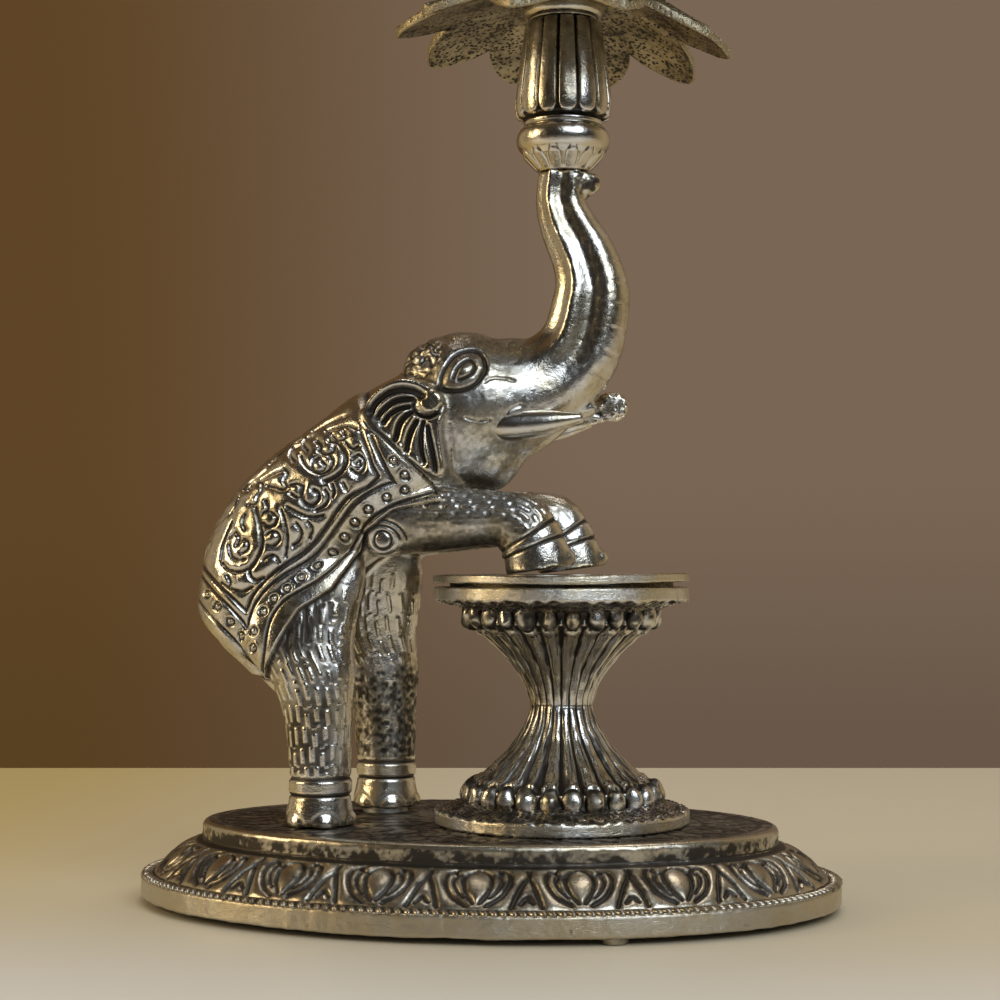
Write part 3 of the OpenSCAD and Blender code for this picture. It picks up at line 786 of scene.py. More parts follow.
class Shader(ShaderTree):
    """One material's nodes."""

    def __init__(self, name: str) -> None:
        """Starts a material with its surface shader and coordinates in millimetres."""
        self.material = bpy.data.materials.new(name)
        self.material.use_nodes = True
        super().__init__(self.material.node_tree)
        self.surface = self.tree.nodes["Principled BSDF"]
        spot = self.node("ShaderNodeTexCoord").outputs["Object"]
        scaled = self.node("ShaderNodeMapping", {}, {"Vector": spot, "Scale": (1 / MM, 1 / MM, 1 / MM)})
        self.place = scaled.outputs["Vector"]

    def look(self, **values: Any) -> None:
        """Sets or links inputs of the surface shader, with an underscore for a space."""
        for key, value in values.items():
            self.feed(self.surface, key.replace("_", " "), value)

    def noise(self, per_mm: float, detail: float = 3.0, stretch: Colour = (1.0, 1.0, 1.0)) -> Signal:
        """Noise from 0 to 1 with a given number of cells for each millimetre."""
        at = self.node("ShaderNodeMapping", {}, {"Vector": self.place, "Scale": stretch})
        made = self.node(
            "ShaderNodeTexNoise",
            {},
            {"Vector": at.outputs["Vector"], "Scale": per_mm, "Detail": detail, "Roughness": 0.55},
        )
        return Signal(self, made.outputs["Fac"])

    def cells(self, per_mm: float) -> Signal:
        """Distance from the middles of scattered cells."""
        made = self.node("ShaderNodeTexVoronoi", {}, {"Vector": self.place, "Scale": per_mm})
        return Signal(self, made.outputs["Distance"])

    def attribute(self, name: str) -> Signal:
        """A number that the mesh carries."""
        made = self.node("ShaderNodeAttribute", {"attribute_name": name})
        return Signal(self, made.outputs["Fac"])

    def relief(self, height: Signal, depth_mm: float) -> None:
        """Feeds a height from 0 to 1 into the surface's normal."""
        values = {"Strength": 1.0, "Distance": depth_mm * MM, "Height": height}
        self.look(Normal=self.node("ShaderNodeBump", {}, values).outputs["Normal"])


# Finishes


@dataclass(frozen=True)
class AntiqueSilver:
    """White metal, polished where it stands out and dark where it lies deep."""

    name: str
    metal: Colour = (0.70, 0.68, 0.65)
    warm: Colour = (0.65, 0.585, 0.45)
    dark: Colour = (0.072, 0.063, 0.054)
    shine: float = 0.16
    dull: float = 0.46
    blotch: float = 0.12
    pits: float = 0.0
    pit_pitch: float = 0.95
    dents: float = 0.13

    def build(self) -> Material:
        """Makes the material."""
        s = Shader(self.name)
        # The patina attribute carries the patina, and on the elephant also painted shade and painted
        # highlight.
        kept, ground = s.attribute("patina"), s.attribute("ground")
        fine, middle, broad = s.noise(2.6), s.noise(0.6), s.noise(0.12, 4.0)
        skin = s.cells(1.0 / self.pit_pitch)
        pitted = (1.0 - skin.ease(0.16, 0.5)) * middle.ease(0.34, 0.5) * self.pits
        streak = s.noise(1.0, 2.0, (0.9, 0.9, 7.0))
        blotched = (broad * 0.6 + middle * 0.4).ease(0.47, 0.66)
        black = kept * (0.75 + 0.5 * middle) + self.blotch * blotched
        black = ((black + pitted * 0.8) * (1.0 - 0.85 * ground)).ease(0.12, 0.78)
        tone = s.mixed(self.metal, self.warm, broad.ease(0.35, 0.65))
        rough = self.shine + (self.dull - self.shine) * black + 0.20 * fine * middle + 0.18 * ground * streak
        s.look(Base_Color=s.mixed(tone, self.dark, black), Roughness=rough.clamp(), Metallic=1.0)
        s.relief(fine * 0.4 + middle * 0.6 - pitted * 2.0 + ground * streak * 0.8, self.dents)
        return s.material


@dataclass(frozen=True)
class PlatedSteel:
    """Bright plated steel of screws, nuts and washers."""

    name: str
    metal: Colour = (0.66, 0.67, 0.69)
    dull: Colour = (0.40, 0.39, 0.37)
    rough: float = 0.28

    def build(self) -> Material:
        """Makes the material."""
        s = Shader(self.name)
        fine, broad = s.noise(3.0), s.noise(0.3, 4.0)
        tone = s.mixed(self.metal, self.dull, broad.ease(0.5, 0.75))
        s.look(Base_Color=tone, Roughness=self.rough + 0.18 * fine, Metallic=1.0)
        s.relief(fine, 0.02)
        return s.material


@dataclass(frozen=True)
class CottonWool:
    """Loose white cotton, a little scorched at the tip."""

    name: str
    fibre: Colour = (0.86, 0.83, 0.76)
    shade: Colour = (0.74, 0.69, 0.60)
    burnt: Colour = (0.035, 0.028, 0.022)
    scorch_z: float = 229.0

    def build(self) -> Material:
        """Makes the material."""
        s = Shader(self.name)
        fluff, strand = s.noise(1.6, 5.0), s.noise(2.2, 2.0, (1.0, 1.0, 0.25))
        high = s.axes(s.place)[2]
        scorched = (high + 1.6 * fluff).ease(self.scorch_z + 0.6, self.scorch_z + 2.6)
        white = s.mixed(self.shade, self.fibre, fluff.ease(0.3, 0.6))
        s.look(Base_Color=s.mixed(white, self.burnt, scorched), Roughness=0.95, Sheen_Weight=0.4)
        s.relief(fluff * 0.5 + strand * 0.5, 0.25)
        return s.material


@dataclass(frozen=True)
class Finishes:
    """Every material of the lamp."""

    cast: Material
    plinth: Material
    petal: Material
    bowl: Material
    steel: Material
    cotton: Material

    @classmethod
    def made(cls) -> Finishes:
        """Builds them all."""
        return cls(
            cast=AntiqueSilver("antique_cast").build(),
            plinth=AntiqueSilver(
                "antique_plinth",
                metal=(0.53, 0.49, 0.41),
                warm=(0.52, 0.45, 0.33),
                shine=0.24,
                blotch=0.3,
                dents=0.1,
            ).build(),
            petal=AntiqueSilver(
                "pitted_petal",
                metal=(0.48, 0.42, 0.30),
                warm=(0.46, 0.38, 0.24),
                shine=0.3,
                blotch=0.3,
                pits=1.0,
                dents=0.16,
            ).build(),
            bowl=AntiqueSilver("turned_bowl", shine=0.2, blotch=0.12, dents=0.03).build(),
            steel=PlatedSteel("plated_steel").build(),
            cotton=CottonWool("cotton_wool").build(),
        )


# Elephant
#
# Places are ahead of the right hind foot and above the deck, seen from the right, but the forefoot's are from
# the disc's middle. A section has its place, heading in degrees, half depth and half width. A hind leg's
# section has its place, half depth, half width and distance inwards. A lump has its place and half sizes.

TORSO = listed(
    """
    -21.4,40,51,10.2,12.5 -20.6,41.2,51,12.6,15.8 -17.8,46.5,58,14,18 -14,54.5,64,16,19.5
    -9,63.5,56,16.2,20 -1.5,70.5,44,16.2,20.4 7.5,76.8,37,16,19.5 17,83,34,16.5,17.5 25,88,25,15.5,15
    """
)
HEAD = listed(
    """
    20,86,20,12,11 28,91.5,10,17.6,14.5 36,94.5,12,15.8,14 43,96,22,13.3,11.5 50,99.5,38,10.8,9
    56.5,106.5,62,9.5,7.8 58.9,117,87,8.7,7.2 58.5,122.7,99,7.8,6.7 56.4,128.4,112,7.1,6.3
    53.5,134,113,6.3,5.8 51.9,139.6,97,5.6,5.3 52.6,145.5,90,5.6,5.5
    """
)
LIP = listed("28,81,8,6,7 36.5,82,14,7.6,8.5 44,86.3,22,3.8,6.5 52,90,24,2.2,4.8 60,92.8,22,1.2,3")
TUSK = listed("37.5,88.2,3,2.4,2.6 40.5,88.3,4,3.4,3.4 45,88.5,5,3.3,3.3 51.5,89.1,7,2.6,2.6 58,90,9,1,1")
TAIL = listed("-26,49,250,3,3.2 -25,42,290,2.2,2.6 -18.5,35.5,318,1.9,2.2 -12.5,29,300,1.6,1.8")
HIND_LEG = listed(
    """
    -4,66,8,4,6 -4.5,58,14,6.2,4 -5.5,48,14,7.4,2 -5,40.5,12.5,7.8,1 -1.8,33,9.8,7.8,0.3 -0.3,25,7.7,7.2,0
    0.2,13.5,6.9,6.7,0 0.2,8,6.8,6.7,0 0,3.5,7,6.9,0 0,0,7,6.9,0
    """
)
SHOULDER = listed("11,68.5,0,9.5,6.5 24,68,0,7.6,6.2 34,68,-3,6.4,5.9")
FOREFOOT = listed("-12.5,12.3,-14,6.1,5.8 -7.9,11,-42,7,5.9 -4.9,6,-68,7.2,6.1 -3.6,0.99,-82.5,7.6,6.4")
EAR_EDGE = listed(
    """
    10.3,91.5 13.2,95.9 18.8,98.5 25.4,96.8 28.4,93 27.9,86 28.8,78.3 27.3,76.6 23.2,78.7 17.7,83.3
    12.5,87.1
    """
)
CLOTH_EDGE = listed(
    """
    -11.6,31 -10.4,35 -6.8,42.2 -3.4,47.7 3.4,52.2 6.7,57.6 10,64.2 16.8,69.6 27.9,71.7 24.5,76.4 14,86.4
    7,100 -12,102 -44,82 -44,40
    """
)
FIELD_EDGE = listed(
    """
    10.2,86.3 11.9,82.5 14.3,77 8.7,73.1 5,69.2 0.3,63.1 -6.4,58 -12.3,52.6 -15.3,47.5 -19,51 -23.1,54.3
    -34,62 -30,100 5,100
    """
)
BORDER_LINES = drawn(
    """
    0.32 10.2,86.3 11.9,82.5 13.1,79.2 14.3,77;
    0.3 14.3,77 11.7,74.6 8.7,73.1 7,71.6 5,69.2 2.9,66.3 0.3,63.1 -3.1,60.2 -6.4,58 -9.6,55.4 -12.3,52.6
        -14,50.4 -15.3,47.5;
    0.28 -15.3,47.5 -19,51 -23.1,54.3 -27.5,57.3 -33,61;
    0.32 12.6,85.6 14.5,81.6 16,78.5 17.4,75.9;
    0.28 17.4,75.9 13.6,74.4 10.6,72.6 8.4,70.7 6.4,68.1 4.3,65.3 1.6,62 -0.9,59.6 -4.1,57.4 -7.3,55.4
        -10.2,53 -12.5,50.4 -14,47.7 -15,43.7;
    0.26 -15,43.7 -17.7,47 -21.6,50.7 -26.6,54.4 -32,58;
    0.3 26.9,73.6 22.8,72.5 18.4,71.2 14.2,69.2 11.1,66.8 8.9,64.2 6.7,61.1 4.9,58.5 3,56.3 0.4,54.1
        -2.9,52.1 -5.7,50.4 -7.8,48.4 -9.3,45.8 -10.2,42.5 -10.6,39 -11.4,34.3;
    0.24 -12.4,33.6 -14.7,36 -17.2,39.7 -20.3,43.2 -24.5,46.8 -29,50;
    0.3 23.6,77.3 25.1,75.6 26.4,73
    """
)
SCROLL_LINES = drawn(
    """
    0.38 3.1,84.6 5.2,84.1 6.7,82.5 7.4,80.3 6.6,78.3 4.9,76.8 2.9,75.9;
    0.22 -3.5,81.4 -2.4,79.8 -0.5,78.2 1.7,77.5 3.7,78.3 4.4,80.1 3.6,81.4;
    0.2 1.9,79.9 2.9,79.2 2.3,78.1 0.7,77.9 -0.4,79 0,80.4 1.3,81;
    0.34 -0.1,84.5 1.1,83.5 1.1,82.4 2.7,81.7 4.2,82.3 4.3,83.4;
    0.32 -2.1,74.6 -2.4,72.7 -1.5,71.1 0.1,70.7 1.4,71.8 1.4,73.3 0.3,74;
    0.22 2.9,73.9 3.6,72.4 2.8,70.7 0.8,69.6;
    0.2 -5.5,70.3 -3,69 -0.4,68.1 2.4,68.5;
    0.22 -4.8,73.1 -3.5,72.4 -1.9,72.4;
    0.2 -5.2,74.9 -3.5,75.3 -2.1,74.6;
    0.25 -7,78.5 -6,77.4 -6.7,75.8 -5.9,74.7 -7,74 -8.8,74.5 -10.7,74.8;
    0.22 -13.2,75.8 -11.2,76.8 -9.2,77.7 -7,78.3;
    0.25 -16,74 -14.4,75.6 -12.5,75.5 -12.2,73.9 -13,72.4 -13.3,71 -14.9,70.8;
    0.34 -10.7,71.4 -10.1,70.3 -10.3,69.4;
    0.32 -11.1,66.6 -9.9,65.9 -8.5,66.4 -7.8,67.9;
    0.18 -11.5,68.4 -10.8,69.2 -9.3,69.2 -8,68.1;
    0.38 -13.1,69.9 -11.9,67 -11.3,63.7 -11.5,61.1 -12.7,58.7 -14.1,56.9;
    0.27 -14.3,56.5 -13.9,55 -12.7,54.3 -11.1,54.8;
    0.2 -19.3,62 -18.6,59.8 -17,58.7 -15.2,58.9;
    0.2 -15.8,60.2 -14.6,61.1 -14.6,62.7 -15.9,63.1 -16.9,62;
    0.2 -19.2,63.6 -17.9,64.7 -16.7,63.5 -17.4,61.8;
    0.22 -20.9,58 -19,56.5 -16.4,56.1 -14.3,56.9;
    0.2 -21,53.6 -18.4,52.3 -15.8,51.9 -13.7,52.8;
    0.2 -19.5,55.2 -18.7,53.9 -19.2,52.8;
    0.18 -21.3,58.7 -21,61.8 -19.9,64.7 -18.8,67.1;
    0.18 -6.9,69.6 -6,66.8 -5.6,63.5 -6.3,59.6;
    0.18 -10.3,64.2 -9.2,65 -7.8,64.6 -7.4,63.1 -8.8,61.8 -10.4,62;
    0.18 -11.3,58.7 -9.9,59.6 -8.4,59.6 -7.6,58.3;
    0.2 8.7,80.9 10,81.6 11.3,80.3 11.1,78.5 9.9,77.6 8.5,78.5;
    0.18 9.4,79.6 10.2,80.3 10.5,79.2 9.6,78.7;
    0.2 1.9,86.7 4.1,87.3 6.9,87.9 9,87.2;
    0.2 3.6,85.7 5,84.8 6.7,85.2 6.2,86.6;
    0.2 7,84.1 8.5,82.9 9.8,83.4;
    0.2 4.4,75.2 4.9,73.7 4.5,72.4;
    0.18 6.8,75.5 7.5,74.1;
    0.2 -3.5,66.8 -2.5,65 -3.1,63.1 -4.6,62;
    0.18 -1.1,67.2 -0.1,65.7 -0.9,63.7;
    0.2 -2,82.5 -3.7,84 -3.4,85.4 -1.6,85.7;
    0.2 -4.7,80.1 -6.4,81.5 -6.3,83.1 -4.5,83.8;
    0.22 -5.1,85.2 -7.4,83.7 -9.5,81.7 -11.7,79.7;
    0.2 -12.4,78.3 -14.3,77 -16.4,75.7 -17.6,73.9;
    0.2 -2.4,87 0,88.3 2.9,89.6 5.9,90.3;
    0.18 -18.5,72.5 -18.9,70.3 -20.1,68.5;
    0.2 -15.7,68.6 -16.2,66.9 -15.3,65.3
    """
)
CLOTH_RINGS = listed(
    """
    6.1,64 3.2,60.7 0.1,57.4 -3.2,54.7 -6.1,52.3 -8.9,50.1 -11.1,47.3 -13.1,43.1 -13.3,39.5 -16.5,42.1
    -19,45.2 -21.9,48.5 -24.9,51 8.6,67.2 11.6,70 15.6,72.6 19.4,74.2 19.6,77.4 17.4,80.4
    """
)
EAR_FLUTES = drawn(
    """
    0.7 12.2,91.1 12.8,92.6 14.4,94.3 16.8,95.6 19.5,96 22,95.5 23.7,94.4;
    0.52 13.7,89.8 15.1,91.5 17.3,93.2 19.7,93.8 21.7,93.8;
    0.46 15,88.7 16.4,90.5 18.6,91.7 20.9,92.1;
    0.45 17.7,84.9 18.2,86.6 18.8,88.5 20.2,90.2 21.4,91;
    0.42 20.2,82.5 20.5,84.3 21.3,86.7 22.6,89;
    0.42 24,80 23.5,82.7 23.5,85.7 24,88.8;
    0.46 26.5,78 26.4,80.5 25.7,84.2 24.9,87.7;
    0.32 22,93.6 21.7,91.8 23.1,90.3 25.1,89.8 27.1,90.7 28,92
    """
)
EYE_LINES = drawn(
    """
    0.36 27,97.1 27.2,99.2 28.4,101.8 29.8,103.6 31.8,104.6 34.1,104.8 36.1,103.6 37,101 36.3,99 34.9,97.2
        32.7,96.1 30.1,95.7 27.8,96.2 27,97.1;
    0.24 30.2,98.6 30.8,100.3 32,101.8 33.4,102.4 34.6,101.5 34.4,99.9 33.1,98.8 31.3,98.1
    """
)
FACE_LINES = drawn(
    """
    0.3 29.4,88.5 29.6,85 29.6,81.8 29.8,78.6 31.2,76.5;
    0.22 36.9,97.6 38.2,98.5 40.7,98.6 43.1,98;
    0.2 32.9,89.8 35.5,89.1 38,89.4;
    0.26 40.5,87.7 41,89.8 42.3,91.6 44.4,92.7;
    0.22 19.6,104.8 21.7,104.2 23.5,104.9;
    0.22 17.5,103 19.2,103.9 20.9,102.8;
    0.22 17.7,100.3 18.8,101.4 21.4,100.8 23.5,100.5;
    0.2 21.9,102.1 22.8,103.2 24.1,102.8;
    0.2 21.2,106.7 22.9,105.9 24.2,106.6
    """
)
LUMPS = listed(
    """
    22.8,0,101.2,6.6,10,6.6 25.2,0,102.8,6.2,10.2,6.4 40.5,0,103,11.5,7,5.7 58.2,0,142.9,3,3.5,2.6
    62.6,7.6,93.6,4.2,3,3.2 57.6,7.6,91.2,4.2,2.1,2.1
    """
)


@dataclass
class LimbPlaces:
    """Points of one limb, and where they lie on it.

    Attributes:
        near: Their numbers in the figure.
        points: Their positions.
        left: Distance to the sole along the limb.
        turn: Angle round the limb, 0 on a foreleg's top or behind a hind leg, and positive outward.
        radius: The limb's mean radius there.
        tight: 1 on the limb's own skin, 0 away from it.
    """

    near: Array
    points: Array
    left: Array
    turn: Array
    radius: Array
    tight: Array

    def bars(self, side: int, ahead: Array) -> tuple[Array, Array]:
        """Rows of upright chiselled bars, hammered on the left leg's shin, whose dark base is painted shade.

        Args:
            side: -1 for the right leg or 1 for the left one.
            ahead: How far each point faces forward.

        Returns:
            Heights, and patina with painted shade and painted highlight.
        """
        pitch, width = 4.5, 2.4
        far = self.left + 0.6 * grain(self.points, 0.14, 33 + side)
        row = np.floor(far / pitch)
        levels = np.arange(0.0, 60.0, pitch)
        close = [np.abs(self.left - z - pitch / 2) < 2.0 for z in levels]
        size = np.array([np.median(np.r_[self.radius[there], 7.0]) for there in close])
        count = np.round(FULL_TURN * size / width)[np.clip(row, 0, len(levels) - 1).astype(int)]
        place = self.turn * count / FULL_TURN + 0.37 * row + 0.12 * grain(self.points, 0.2, 35 + side)
        across = np.abs(place % 1.0 - 0.5)
        within = np.abs((far / pitch + 0.22 * np.sin(2.4 * np.floor(place))) % 1.0 - 0.5)
        thin = 0.0 if side < 0 else 0.07
        bar = ease(0.29 - thin, 0.13 - thin, across) * ease(0.45, 0.33, within)
        # Less dark and flatter bars on the right leg's front: partly polish, partly a painted highlight.
        kept_dark = 1.0 - 0.6 * ease(0.35, 0.9, ahead)
        thigh = ease(34.0, 44.0, self.left) * ease(0.5, 0.1, ahead)
        fade = ease(57.0, 50.0, self.left)
        patch = ease(-0.7, 0.4, grain(self.points, 0.12, 34 + side))
        hair = grain(self.points * [1.5, 1.0, 0.22], 0.9, 31)
        hair += 0.5 * grain(self.points * [2.6, 1.5, 0.4], 0.9, 32)
        if side < 0:
            raised = kept_dark * fade * (0.26 * bar - 0.1) * (1 - thigh) + thigh * fade * 0.16 * hair
            dark = kept_dark * fade * (1.0 - bar) * (0.36 + 0.3 * patch) * (1 - thigh)
            return raised, dark + 0.95 * thigh * fade * ease(0.4, -0.2, hair)
        lumps = grain(self.points, 1.1, 38) + 0.6 * grain(self.points, 2.2, 39)
        # On the far, left leg the shin's dark base is painted shade, over patina in its hammered lumps.
        shin = ease(37.0, 30.0, far)
        raised = fade * 0.2 * bar * (1 - shin) + 0.13 * shin * lumps
        return raised, 0.14 * fade * (1.0 - bar) * (1 - shin) + shin * (0.52 - 0.3 * lumps)

    def dashes(self, side: int) -> tuple[Array, Array]:
        """Broken lengthwise dashes, and painted shade along the leg's underside.

        Args:
            side: -1 for the right foreleg or 1 for the left one.

        Returns:
            Heights and patina.
        """
        pitch, columns = 3.6, 24
        place = self.turn * columns / FULL_TURN + 0.1 * grain(self.points, 0.2, 36 + side)
        across = np.abs(place % 1.0 - 0.5)
        phase = (np.sin(np.floor(place) * 12.9 + side) * 43.7) % 1.0
        within = np.abs((self.left / pitch + phase + 0.15 * grain(self.points, 0.3, 37)) % 1.0 - 0.5)
        dash = ease(0.38, 0.24, across) * ease(0.42, 0.32, within)
        streak = grain(self.points * [0.25, 1.0, 1.0], 1.1, 40 + side)
        high = ease(1.75, 1.2, np.abs(self.turn))
        # Painted shade on the foreleg's underside.
        under = ease(1.9, 2.4, np.abs(self.turn))
        bold = high if side < 0 else high * (1.0 - 0.8 * ease(20.0, 15.0, self.left))
        raised = bold * (0.24 * dash - 0.12) + (1 - bold) * 0.1 * streak
        dark = bold * (1.0 - dash) * 0.5 + (1 - bold) * 0.4 * ease(0.2, -0.4, streak)
        return raised, np.maximum(dark, 0.5 * under)

    def nails(self) -> tuple[Array, Array]:
        """Rounded nails on a hind foot: heights and patina."""
        sole_r, nail_r = 7.0, 3.1
        raised, lines = np.zeros(len(self.left)), np.zeros(len(self.left))
        for turn in np.radians((-115, -50, 50, 115, 180)):
            off = np.angle(np.exp(1j * (self.turn - turn))) * sole_r
            r = np.hypot(off, self.left - 0.2)
            edge = bump(r, nail_r, 0.4)
            raised += 0.4 * ease(3.0, 0.8, r) - 0.16 * edge
            lines += 0.32 * edge
        return raised, np.clip(lines, 0, 1)


@dataclass
class Figure:
    """The elephant's points while they are worked.

    Attributes:
        p: Places in the lamp's frame.
        n: Outward directions.
        x: Distance ahead of the right hind foot.
        y: Distance from the middle plane.
        z: Height above the deck.
        height: How far the work moves each point outwards.
        patina_and_shade: Patina that the work leaves, with painted shade and painted highlight on the legs
            and below the blanket.
    """

    p: Array
    n: Array
    x: Array
    y: Array
    z: Array
    height: Array
    patina_and_shade: Array

    def grain(self, per_mm: float, seed: int) -> Array:
        """Noise at the points."""
        return grain(self.p, per_mm, seed)

    def away(self, x: float, z: float) -> Array:
        """Distances from a place, seen from the side."""
        return np.hypot(self.x - x, self.z - z)

    def clearance(self, lines: Lines) -> Array:
        """Distances outside drawn lines, seen from the side."""
        return line_clearance(self.x, self.z, lines)

    def depth(self, loop: Any) -> Array:
        """Depths inside a closed outline, seen from the side."""
        return inside_depth(self.x, self.z, loop)

    def darken(self, patina: Array) -> None:
        """Adds patina, or painted shade, where there is less."""
        self.patina_and_shade = np.maximum(self.patina_and_shade, patina)


@dataclass
class Elephant:
    """The elephant casting, in four pieces and its tusks."""

    hind_x: float = -35.2
    deck_z: float = 18.2
    hind_gap: float = 28.0
    hind_lead: float = 8.8
    spacer: float = 1.2
    fore_gap: float = 19.0
    fore_lead: float = 4.4
    pedestal_x: float = 17.0
    disc_z: float = 73.7
    cloth_t: float = 0.9
    tusk_y: float = 7.6
    tusk_out: float = 1.2
    voxel: float = 0.62
    boss_x: float = 14.5
    boss_z: float = 63.0
    hind_anklet: tuple[float, float] = (7.0, 10.6)
    fore_anklet: tuple[float, float] = (5.2, 7.7)
    wrinkle_pitch: float = 4.2
    left_paw: tuple[tuple[float, ...], ...] = (
        (0.3, 0.4, 0, 0.2, 0), (0.2, 0.2, 0, 0.2, 0), (0.2, 0, 0, 0.2, 0), (0.5, 0, 0, 0.3, 0)
    )
    ear_rows: tuple[tuple[float, float], ...] = (
        (8.0, 1.0), (15.2, 1.0), (16.4, 0.97), (17.0, 0.9), (17.3, 0.75), (17.5, 0.45)
    )

    def placed(self, t: Array, y: float = 0.0) -> Array:
        """Sections of a table in the lamp's frame, with their place across."""
        return np.column_stack([t[:, 0] + self.hind_x, t[:, 1] + self.deck_z, t[:, 2:], np.full(len(t), y)])

    def hind_sections(self, side: int) -> Array:
        """Sections of one hind leg, side -1 right or 1 left."""
        t = HIND_LEG
        ahead, sole = (self.hind_lead, self.spacer) if side > 0 else (0.0, 0.0)
        x = self.hind_x + t[:, 0] + ahead
        z = self.deck_z + t[:, 1]
        z[-1] += sole
        heading = np.full(len(t), -90.0)
        return np.column_stack([x, z, heading, t[:, 2], t[:, 3], side * (self.hind_gap / 2 - t[:, 4])])

    def fore_sections(self, side: int) -> Array:
        """Sections of one foreleg, side -1 right or 1 left."""
        ahead = self.fore_lead if side > 0 else 0.0
        a, b = SHOULDER.copy(), FOREFOOT.copy()
        a[:, :2] += [self.hind_x + ahead / 2, self.deck_z]
        b[:, :2] += [self.pedestal_x + ahead, self.disc_z]
        if side > 0:
            b += self.left_paw
        return np.column_stack([np.vstack([a, b]), np.full(len(a) + len(b), side * self.fore_gap / 2)])

    @staticmethod
    def loft(
        sections: Array, points: int, steps: int, shape: Callable[[Array, Array], Array] | None = None
    ) -> CastMesh:
        """A closed skin through sections.

        Args:
            sections: Rows of x, z, heading in degrees, half depth, half width and y.
            points: Points round a section.
            steps: Rows for each span.
            shape: Factor on a section's radius from its share along the loft and its angle.

        Returns:
            The skin, with flat ends.
        """
        x, z, heading, deep, wide, y = np.split(spline(sections, steps), 6, axis=1)
        a = ring_angles(points)
        along = np.linspace(0.0, 1.0, len(x))[:, None]
        size = shape(along, a[None, :]) if shape else np.ones((len(x), points))
        h = np.radians(heading)
        up = deep * np.cos(a) * size
        places = np.stack([x - up * np.sin(h), y - wide * np.sin(a) * size, z + up * np.cos(h)], -1)
        return CastMesh.grid(places, capped=True)

    def ear(self, side: int) -> CastMesh:
        """One ear: a domed plate with a rounded edge."""
        loop = spline(EAR_EDGE, 6, closed=True) + [self.hind_x, self.deck_z]
        middle = loop.mean(0)
        made = []
        for y, shrink in self.ear_rows:
            p = middle + (loop - middle) * shrink
            made.append(np.column_stack([p[:, 0], np.full(len(p), side * y), p[:, 1]]))
        return CastMesh.grid(np.array(made), capped=True)

    @staticmethod
    def trunk_ridges(along: Array, a: Array) -> Array:
        """Lengthwise ridges that grow from the face to the trunk's tip."""
        grow = ease(0.30, 0.50, along)
        side = np.abs(np.angle(np.exp(1j * a)))
        rib = 0.14 * bump(side, 1.2, 0.17) - 0.10 * bump(side, 0.82, 0.2)
        return 1.0 + grow * (rib - 0.22 * bump(side, 1.68, 0.27) + 0.05 * bump(side, 2.3, 0.35))

    def blank(self) -> CastMesh:
        """The plain figure as one skin."""
        x, z = self.hind_x, self.deck_z
        parts = [
            self.loft(self.placed(TORSO), 64, 6),
            self.loft(self.placed(HEAD), 64, 6, self.trunk_ridges),
            self.loft(self.placed(LIP), 32, 5),
            self.loft(self.placed(TAIL), 20, 5),
            *(CastMesh.ball(lump[:3] + [x, 0, z], lump[3:]) for lump in LUMPS),
        ]
        for side in (-1, 1):
            hind, fore = self.hind_sections(side), self.fore_sections(side)
            parts += [self.loft(hind, 40, 5), self.loft(fore, 40, 5), self.ear(side)]
            parts.append(CastMesh.ball((x + self.boss_x, side * 13.2, z + self.boss_z), (4.2, 2.2, 3.6)))
            sole_x, sole_z, _, deep, _, sole_y = hind[-1]
            parts.append(CastMesh.ball((sole_x + deep - 0.6, sole_y, sole_z + 2.0), (1.3, 2.4, 1.9)))
            paw_x, paw_z, heading, deep, _, paw_y = fore[-1]
            c, s = math.cos(math.radians(heading)), math.sin(math.radians(heading))
            toe = (paw_x - (deep - 0.6) * s - 1.9 * c, paw_y, paw_z + (deep - 0.6) * c - 1.9 * s)
            parts.append(CastMesh.ball(toe, (1.4, 2.6, 1.7)))
        rough = CastMesh.joined(parts).mesh("elephant_rough", {}, MM)
        cells = {"mode": "VOXEL", "voxel_size": self.voxel, "adaptivity": 0.0}
        shaped = CastMesh.read(Workshop.applied(rough, "REMESH", cells))
        shaped.points = shaped.relaxed(5)
        skin = shaped.mesh("elephant_skin", {}, MM)
        return CastMesh.read(Workshop.applied(skin, "SUBSURF", {"levels": 1, "render_levels": 1}))

    def chase(self, skin: CastMesh) -> tuple[Array, Array]:
        """Carves the dress, the face and the limbs.

        Args:
            Extra patina with painted shade and highlight, and a piece number for each point.

        Returns:
            Extra patina and a piece number for each point.
        """
        p = skin.points
        x, y, z = p[:, 0] - self.hind_x, np.abs(p[:, 1]), p[:, 2] - self.deck_z
        f = Figure(p, skin.normals(), x, y, z, 0.035 * grain(p, 0.35, 3), np.zeros(len(p)))
        ear_depth = f.depth(spline(EAR_EDGE, 6, closed=True))
        on_ear = ease(-0.1, 0.6, ear_depth) * ease(12.5, 14.0, y)
        dressed = self.dress(f, on_ear)
        self.flute_ears(f, on_ear, ear_depth)
        face = (1.0 - on_ear) * (1.0 - dressed) * ease(15.0, 18.0, x)
        self.carve_face(f, face)
        self.carve_flank(f, 1.0 - dressed)
        self.limbs(f, dressed)
        f.height += self.trunk_marks(p, face)
        skin.push(f.height)
        piece = np.where((x > 17.0) & (z > 78.0) | (z > 96.0) & (x > 9.0), 1, 0)
        piece = np.where((z < 50.0) & (x < 22.0), 2, piece)
        piece = np.where((z < 78.0) & (x > 16.5), 3, piece)
        return f.patina_and_shade, piece

